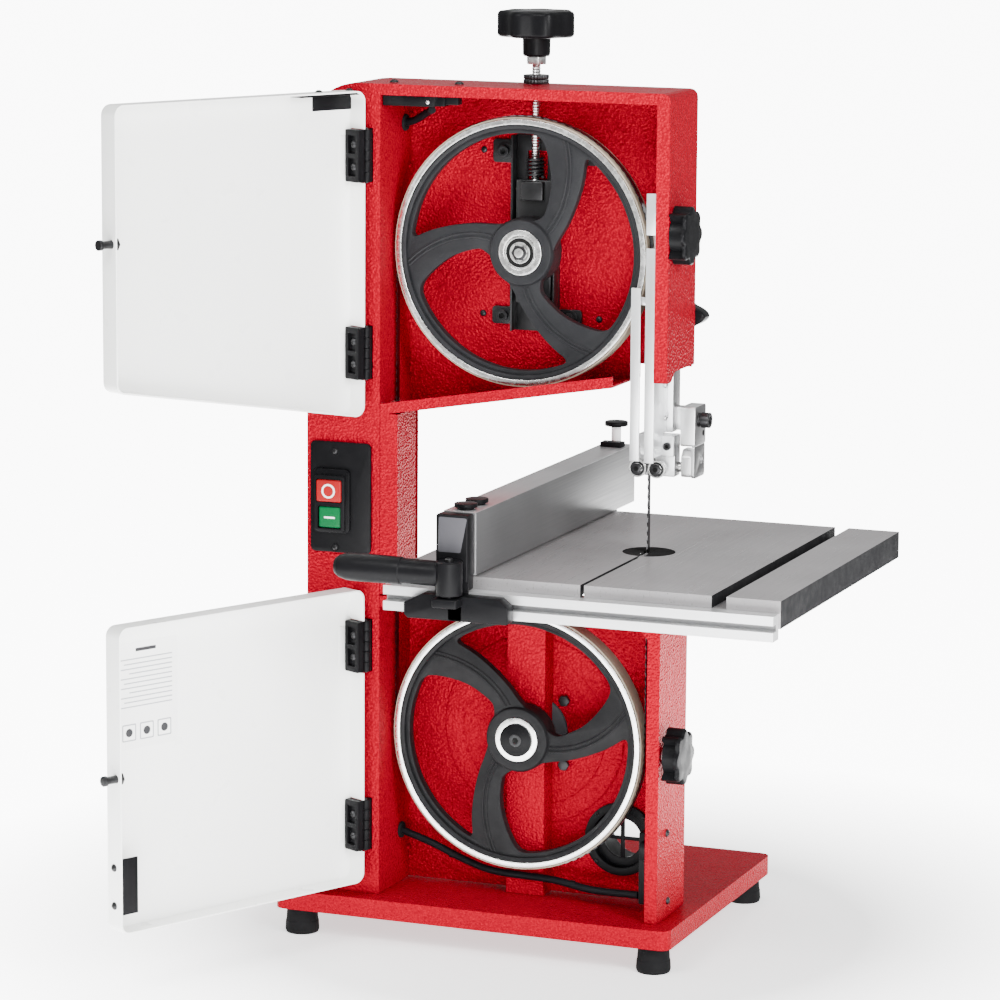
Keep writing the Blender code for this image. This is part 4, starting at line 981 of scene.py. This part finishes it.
# ------------------------------------------------------------------ doors
def make_door(level, low_left, low_right, high):
    body = level + "_door"
    hinges, latch_z = HINGE_Z[level], CATCH_Z[level]
    outline = [(DOOR_LEFT, low_left), (DOOR_RIGHT, low_right), (DOOR_RIGHT, high), (DOOR_LEFT, high)]
    door = Piece(level + "_door_pan", body, level + "_door", slot="white_paint", door=True)
    outer = fillet(outline, 8, 8)
    shell = slab_mesh([outer], -17.98, -0.62, "Y", 0)
    round_over(shell, 1.8, 4, lambda spot: spot.y < -10)
    left, right = DOOR_LEFT + DOOR_SHEET, DOOR_RIGHT - DOOR_SHEET
    lean = (low_right - low_left) / (DOOR_RIGHT - DOOR_LEFT)
    rise = DOOR_SHEET / math.cos(math.atan(lean))
    inner = [(left, low_left + rise + DOOR_SHEET * lean),
             (right, low_right + rise - DOOR_SHEET * lean),
             (right, high - DOOR_SHEET), (left, high - DOOR_SHEET)]
    pan = slab_mesh([fillet(inner, 6.8, 8)], -16.8, 4, "Y", 0)
    round_over(pan, 1.0, 3, lambda spot: spot.y < -10)
    notches = [block_mesh((-111.5, -108), (-16.5, 3), (z - 20.5, z + 20.5), 0) for z in hinges]
    stud_hole = lathe_mesh(rect(0, 122, 3.3, 130), 32, 0)
    place = Matrix.Translation((0, -6.1, latch_z)) @ TURNED["X"]
    bmesh.ops.transform(stud_hole, matrix=place, verts=stud_hole.verts)
    door.add(carved(shell, pan, *notches, stud_hole), WHITE)
    door.done(40)
    for side, z in zip(("top", "bottom"), hinges):
        name = "door_hinge_%s_%s" % (level, side)
        base = z - 20
        leaf = Piece(name + "_leaf", body, name, slot="black_plastic", door=True)
        leaf.block((-109.8, -106.2), (-16.2, -0.9), (base + 0.1, base + 39.9), BLACK, 0.4)
        rim = slab_mesh([fillet(rect(-16.2, base + 0.1, -0.9, base + 39.9), 1.2, 4)], -107, -103.6,
                        "X", 0.35)
        wells = []
        for low, high in ((4.6, 18.2), (21.8, 35.4)):
            wells.append(block_mesh((-106.3, -100), (-13.0, -4.2), (base + low, base + high), 0))
        leaf.add(carved(rim, *wells), BLACK)
        for low in (8, 24):
            bore = lathe_mesh(rect(1.85, low + base + 0.05, 3.55, low + base + 7.95), 40, 0.2)
            leaf.add(bore, BLACK, Matrix.Translation((HINGE.x, HINGE.y, 0)))
            leaf.block((-112.4, -108.5), (-7.2, -5.0), (base + low + 0.1, base + low + 7.9), BLACK,
                       0.2)
        for dz in (-8.6, 8.6):
            leaf.screw((-106.1, -8.6, z + dz), (1, 0, 0), "pan", 3.0, DARK_STEEL)
        leaf.done()
        fixed = Piece("frame_hinge_%s_%s_leaf" % (level, side), "frame",
                      "frame_hinge_%s_%s" % (level, side), slot="black_plastic")
        fixed.block((-117.1, -112.3), (0.15, 13.9), (base + 0.05, base + 39.95), BLACK, 0.4)
        fixed.block((-112.8, -107.2), (2.1, 13.9), (base + 0.05, base + 39.95), BLACK, 0.5)
        fixed.lathe(rect(0, base - 0.9, 1.45, base + 40.9),
                    (HINGE.x, HINGE.y), "Z", DARK_STEEL, 24, 0.3)
        for low, high in ((0, 7.7), (16.3, 23.7), (32.3, 40)):
            fixed.lathe(rect(0, base + low + 0.05, 3.55, base + high - 0.05),
                        (HINGE.x, HINGE.y), "Z", BLACK, 40, 0.25)
            fixed.block((-116.8, -112.6), (-3.4, 0.9), (base + low + 0.1, base + high - 0.1), BLACK,
                        0.3)
        fixed.done()
    stud = Piece(level + "_stud", body, level + "_latch_stud", slot="black_steel", door=True)
    profile = [(0, 138.1), (3.9, 138.1), (3.9, 135.1), (2.95, 135.1), (2.95, 124.6), (3, 121.1),
               (0, 121.1)]
    stud.lathe(profile, (-6.1, latch_z), "X", BLACKENED, 36, 0.3)
    stud.slab([circle(-6.1, latch_z, 4.9, 6)], 121.3, 124.5, "X", BLACKENED, 0.3)
    stud.done()


make_door("upper", 412.9, 453.6, 662.3)
make_door("lower", 47.6, 47.6, 279.6)

flag = Piece("upper_door_flag", "upper_door", slot="black_plastic", door=True)
flag.block((-109, -71.4), (-16.6, -15.2), (647.6, 660.9), BLACK, 0.4)
flag.block((-109, -50), (-16.6, -3.5), (659.3, 660.9), BLACK, 0.4)
for x in (-72, -102):
    flag.screw((x, -9.5, 662.2), (0, 0, 1), "pan", 3.0, BLACKENED)
flag.done()
flag = Piece("lower_door_flag", "lower_door", slot="black_plastic", door=True)
flag.block((123.4, 124.9), (-16.5, -1.8), (62.5, 105.5), BLACK, 0.4)
flag.block((109.5, 124.5), (-3.4, -1.9), (62.5, 105.5), BLACK, 0.4)
for z in (98, 69):
    flag.screw((126.1, -9, z), (1, 0, 0), "pan", 3.0, BLACKENED)
flag.done()
for level, ending in (("upper", ""), ("lower", "_low")):
    seams = Piece("door_weld_strips" + ending, level + "_door", slot="white_paint", door=True)
    for z in HINGE_Z[level]:
        seams.block((-103.3, -98.2), (-16.85, -16.2), (z - 15, z + 15), WHITE, 0.25)
    seams.done()

sticker = Piece("plain_label", "lower_door", slot="white_paint", door=True)
sx0, sx1, sz0, sz1 = 60, 119, 183.5, 264
sticker.slab([fillet(rect(sx0, sz0, sx1, sz1), 2.5, 5)], -16.79, -16.6, "Y", LABEL_WHITE, 0)
sticker.slab([fillet(rect(sx0 + 20, sz1 - 7.2, sx1 - 20, sz1 - 4.6), 0.4)], -16.62, -16.55, "Y",
             LABEL_INK, 0)
for row in range(11):
    z = sz1 - 13 - row * 3.6
    trim_right = (4, 9, 5, 14)[row % 4]
    sticker.slab([rect(sx0 + 5, z, sx1 - trim_right, z + 0.9)], -16.62, -16.55, "Y", LABEL_GREY, 0)
for column in range(3):
    low = sx0 + 6 + column * 16.5
    sticker.slab([fillet(rect(low, sz0 + 6, low + 13, sz0 + 19), 1)], -16.62, -16.55, "Y",
                 LABEL_GREY, 0)
    sticker.slab([fillet(rect(low + 1, sz0 + 7, low + 12, sz0 + 18), 0.7)], -16.56, -16.5, "Y",
                 LABEL_WHITE, 0)
    sticker.slab([circle(low + 6.5, sz0 + 12.5, 3.2, 32)], -16.51, -16.46, "Y", LABEL_INK, 0)
sticker.done()

for level, cz in CATCH_Z.items():
    catch = Piece(level + "_catch_knob", level + "_catch", level + "_door_catch",
                  slot="black_plastic")
    disc = slab_mesh([lobed(13, cz, 21.75, 3.4, 8, 16, 1.6)], 127.05, 141.4, "X", 0)
    round_over(disc, 2.2, 4, lambda spot: spot.x > 140)
    sector = arc(13, cz, 14.6, 226, 134, 16) + [(-11, cz + 24.85), (-11, cz - 24.85)]
    notch = slab_mesh([sector], 126, 138.5, "X")
    catch.add(carved(disc, notch), BLACK)
    start_x = 124.3 if level == "lower" else 126.8
    catch.lathe([(0, 117.6), (8.9, 117.6), (8.9, 121.9), (5.9, 121.9), (5.9, start_x + 0.05),
                 (8.9, start_x + 0.05), (8.9, 128), (0, 128)], (13, cz), "X", ZINC, 40, 0.3)
    catch.lathe([(0, 141.0), (10.5, 141.0), (11.5, 141.45), (0, 141.45)], (13, cz), "X",
                BLACK, 48, 0)
    catch.done()

# ------------------------------------------------------------------ table
dress("table_top", TABLE, 0.5)
top_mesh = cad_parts["table_top"].data
top_mesh.materials.append(CAST_BLACK)
top_height = max(v.co.z for v in top_mesh.vertices)
for face in top_mesh.polygons:
    if abs(face.normal.x) > 0.9 or face.normal.y > 0.9 or face.normal.z < -0.5:
        if face.center.z < top_height - 0.009 or abs(face.normal.x) > 0.9:
            face.material_index = 1
dress("table_insert", INSERT, 0.25)
dress("table_rail", ALLOY_X, 0.4)
dress("trunnion_cradle", IRON, 0.4)
front = Piece("table_front_face", "table", slot="alloy")
for width in ((-47.7, 101.8), (105.2, 202.4), (214, 254.5)):
    front.block(width, (-115.38, -115.2), (298.4, 317.6), ALLOY_X, 0)
front.done()
# Thin dark strips along the table rail: painted shadow lines.
painted_shade_strip = Piece("rail_painted_shadow_lines", "table", slot="alloy")
for y, z in (((-121.25, -121.02), (297.6, 302.4)), ((-128.39, -128.2), (303.4, 303.9)),
             ((-128.39, -128.2), (295.9, 296.4))):
    painted_shade_strip.block((-47.7, 253.2), y, z, SHADED_ALLOY, 0)
painted_shade_strip.done()
slots = Piece("insert_slots", "table", slot="steel")
for degrees in range(0, 360, 30):
    if degrees in (90, 270):
        continue
    a = math.radians(degrees)
    place = Matrix.Translation((103.7, 30, 0)) @ Matrix.Rotation(a, 4, "Z")
    slots.add(block_mesh((9, 16.5), (-1.1, 1.1), (318.0, 318.38), 0.1), ALLOY_X, place)
slots.done()

# ------------------------------------------------------------------ rip fence
beam = Piece("fence_extrusion", "fence", "fence_beam", slot="alloy")
outer = fillet(rect(-4.45, 319.6, 21.45, 366.4), 0.8, 4)
# The fence's body carries painted shade and the thin cap on its top carries painted light.
beam.slab([outer, rect(-2.1, 321.9, 19.1, 364.1)], -117.9, 227.9, "Y", SHADED_ALLOY, 0.2)
beam.block((-4.3, 21.3), (-117.8, 227.8), (366.2, 366.48), LIT_FENCE_TOP, 0.1)
beam.done()
nuts = Piece("fence_thumb_nuts", "fence", slot="black_plastic")
for y in (-106, -84):
    nuts.lathe([(0, 366.2), (6.4, 366.2), (6.4, 367.6), (8.6, 368.2), (8.6, 371), (0, 371)],
               (8.5, y), "Z", BLACK, 40, 0.4)
nuts.block((-0.5, 17.5), (205, 215.5), (366.2, 370.6), BLACK, 0.8)
nuts.done()
hook = Piece("fence_rear_foot", "fence", slot="black_plastic")
hook.block((0.6, 16.4), (190.6, 201.9), (302.1, 320.9), BLACK, 1.0, 3)
hook.lathe(rect(0, 366.2, 3.9, 383), (8.5, 219), "Z", MARK, 32, 0.2)
hook.lathe(rect(0, 382.1, 9.4, 385.9), (8.5, 219), "Z", BLACK, 48, 0.9)
hook.done()

carriage = Piece("fence_carrier", "fence", "fence_carriage", slot="black_plastic")
left_foot = fillet([(-23.8, 289.1), (20, 289.1), (20, 307.9), (-12, 307.9), (-26.5, 300.5),
                    (-26.5, 292)], 1.8, 5)
carriage.slab([left_foot], -140.9, -128.8, "Y", BLACK, 0.9)
carriage.slab([fillet([(8, 289.1), (54, 289.1), (55.3, 290.5), (55.3, 302), (48, 307.9),
                       (8, 307.9)], 1.8, 5)], -140.9, -128.8, "Y", BLACK, 0.9)
carriage.block((-5.9, 20.4), (-130.65, -129.0), (300, 316.9), BLACK, 0.4)
carriage.block((-5.4, 19.9), (-130.55, -118.4), (309.7, 365.9), BLACK, 1.4, 3)
badge = [(-3.6, 338), (14.2, 338), (19.3, 364), (-3.0, 364)]
carriage.slab([fillet(badge, 1.4, 4)], -130.58, -130.3, "Y", BADGE_GREY, 0.06)
carriage.block((0.1, 19.4), (-151.9, -138.1), (300.1, 306.9), BLACK, 1.2, 3)
carriage.lathe([(0, 305), (2.95, 305), (2.95, 335.4), (2.3, 335.9), (0, 335.9)], FENCE_PIVOT, "Z",
               BLACKENED, 32, 0)
carriage.done()

lever = Piece("fence_cam_lever", "fence_lever", "fence_lever", slot="black_plastic")
lever.lathe([(3.35, 308.7), (9.9, 308.7), (9.9, 333.0), (8.9, 333.9), (3.35, 333.9)], FENCE_PIVOT,
            "Z", BLACK, 64, 0.6)
grip_profile = [(0, -79.9), (6.2, -79.7), (8.6, -76.5), (10.4, -70), (10.75, -60), (10.6, -40),
                (10.4, -27.3), (9.7, -26.8), (9.6, -14), (9.5, 0), (8.8, 3), (0, 4)]
grip_mesh = lathe_mesh(grip_profile, 64, 0.4)
flatten = Matrix.Diagonal((1.0, 0.94, 0.98, 1.0))
bmesh.ops.transform(grip_mesh, matrix=Matrix.Translation((0, -142, 324)) @ flatten @ TURNED["X"],
                    verts=grip_mesh.verts)
pin_hole = lathe_mesh(rect(0, 300, 3.35, 350), 32, 0)
bmesh.ops.transform(pin_hole, matrix=Matrix.Translation((*FENCE_PIVOT, 0)), verts=pin_hole.verts)
lever.add(carved(grip_mesh, pin_hole), BLACK)
lever.done()

# ------------------------------------------------------------------ floor, light, camera
# The floor glows with painted light inside a wedge that widens towards the back of the view, and less
# right under the saw; outside the wedge its colour is painted darker, painted shade for what the saw
# reflects. Distances are metres and angles are degrees.
WEDGE_TURN = 21.3
WEDGE_WIDENS = 0.118
WEDGE_SOLID, WEDGE_ENDS = 0.48, 0.95
NEAR_SAW, CLEAR_OF_SAW = 0.24, 0.58
GLOW_AT_SAW = 0.12
GLOW = 9.5
FLOOR_SIZE = 30.0
SKY = 0.7
LENS = 151.67
CAMERA_SPOT = (1.1400, -2.9343, 0.9021)
YAW, PITCH, ROLL = 21.334, 9.848, 0.403
STAGE_PAINT = Nodes("studio_floor", (0.80, 0.80, 0.80), 0.6, spec=0.05)
STAGE_PAINT.shader.inputs["Emission Color"].default_value = (1.0, 1.0, 1.0, 1.0)


def stage_math(kind, *values):
    node = STAGE_PAINT.tree.nodes.new("ShaderNodeMath")
    node.operation = kind
    for slot, value in zip(node.inputs, values):
        if isinstance(value, float):
            slot.default_value = value
        else:
            STAGE_PAINT.link(value, slot)
    return node.outputs["Value"]


swung = STAGE_PAINT.node("Mapping", Rotation=(0.0, 0.0, math.radians(-WEDGE_TURN)),
                         Vector=STAGE_PAINT.coords)
split = STAGE_PAINT.node("SeparateXYZ", Vector=swung.outputs["Vector"])
span = STAGE_PAINT.tree.nodes.new("ShaderNodeVectorMath")
span.operation = "LENGTH"
STAGE_PAINT.link(STAGE_PAINT.mapped((1.0, 1.0, 1.0), (0.0, -0.1, 0.0)), span.inputs[0])
aside = stage_math("ABSOLUTE", split.outputs["X"])
aside = stage_math("MULTIPLY_ADD", split.outputs["Y"], -WEDGE_WIDENS, aside)
wedge = STAGE_PAINT.remap(aside, 1.0, 0.0, WEDGE_SOLID, WEDGE_ENDS)
away = STAGE_PAINT.remap(span.outputs["Value"], GLOW_AT_SAW, 1.0, NEAR_SAW, CLEAR_OF_SAW)
glow = stage_math("MULTIPLY", stage_math("MULTIPLY", wedge, away), GLOW)
# Painted shade: the floor's colour is darker outside the wedge.
STAGE_PAINT.vary(wedge, (0.46, 0.46, 0.46), (0.80, 0.80, 0.80), 0.0, 1.0)
STAGE_PAINT.link(glow, STAGE_PAINT.shader.inputs["Emission Strength"])
floor_mesh = bpy.data.meshes.new("studio_floor")
sheet = bmesh.new()
bmesh.ops.create_grid(sheet, x_segments=1, y_segments=1, size=FLOOR_SIZE)
sheet.to_mesh(floor_mesh)
sheet.free()
floor_mesh.materials.append(STAGE_PAINT.mat)
floor = bpy.data.objects.new("studio_floor", floor_mesh)
bpy.context.scene.collection.objects.link(floor)

world = bpy.data.worlds.new("studio")
bpy.context.scene.world = world
world.use_nodes = True
world.node_tree.nodes["Background"].inputs["Color"].default_value = (1.0, 1.0, 1.0, 1.0)
world.node_tree.nodes["Background"].inputs["Strength"].default_value = SKY


def softbox(name, spot, aim, width, height, power):
    light = bpy.data.lights.new(name, "AREA")
    light.shape = "RECTANGLE"
    light.size = width
    light.size_y = height
    light.energy = power
    obj = bpy.data.objects.new(name, light)
    obj.location = spot
    obj.rotation_euler = (Vector(aim) - Vector(spot)).to_track_quat("-Z", "Y").to_euler()
    bpy.context.scene.collection.objects.link(obj)


softbox("key_right", (2.0, -1.3, 1.3), (-0.1, -0.1, 0.35), 0.8, 1.2, 105)
softbox("front_high", (-0.4, -1.7, 2.0), (0.0, 0.0, 0.35), 0.9, 0.7, 42)
softbox("front_low", (1.0, -2.2, 0.45), (0.0, 0.0, 0.15), 0.7, 0.5, 30)
softbox("top", (0.1, 0.2, 2.3), (0.0, 0.0, 0.3), 0.9, 0.9, 18)

camera_data = bpy.data.cameras.new("camera")
camera_data.lens = LENS
camera_data.sensor_width = 36.0
camera_data.clip_end = 30.0
camera = bpy.data.objects.new("camera", camera_data)
bpy.context.scene.collection.objects.link(camera)
yaw, pitch, roll = (math.radians(angle) for angle in (YAW, PITCH, ROLL))
forward = Vector((-math.sin(yaw) * math.cos(pitch), math.cos(yaw) * math.cos(pitch),
                  -math.sin(pitch)))
right = Vector((math.cos(yaw), math.sin(yaw), 0.0))
above = right.cross(forward)
right, above = (right * math.cos(roll) + above * math.sin(roll),
                above * math.cos(roll) - right * math.sin(roll))
turn = Matrix((right, above, -forward)).transposed().to_4x4()
camera.matrix_world = Matrix.Translation(Vector(CAMERA_SPOT) + SHIFT) @ turn
bpy.context.scene.camera = camera
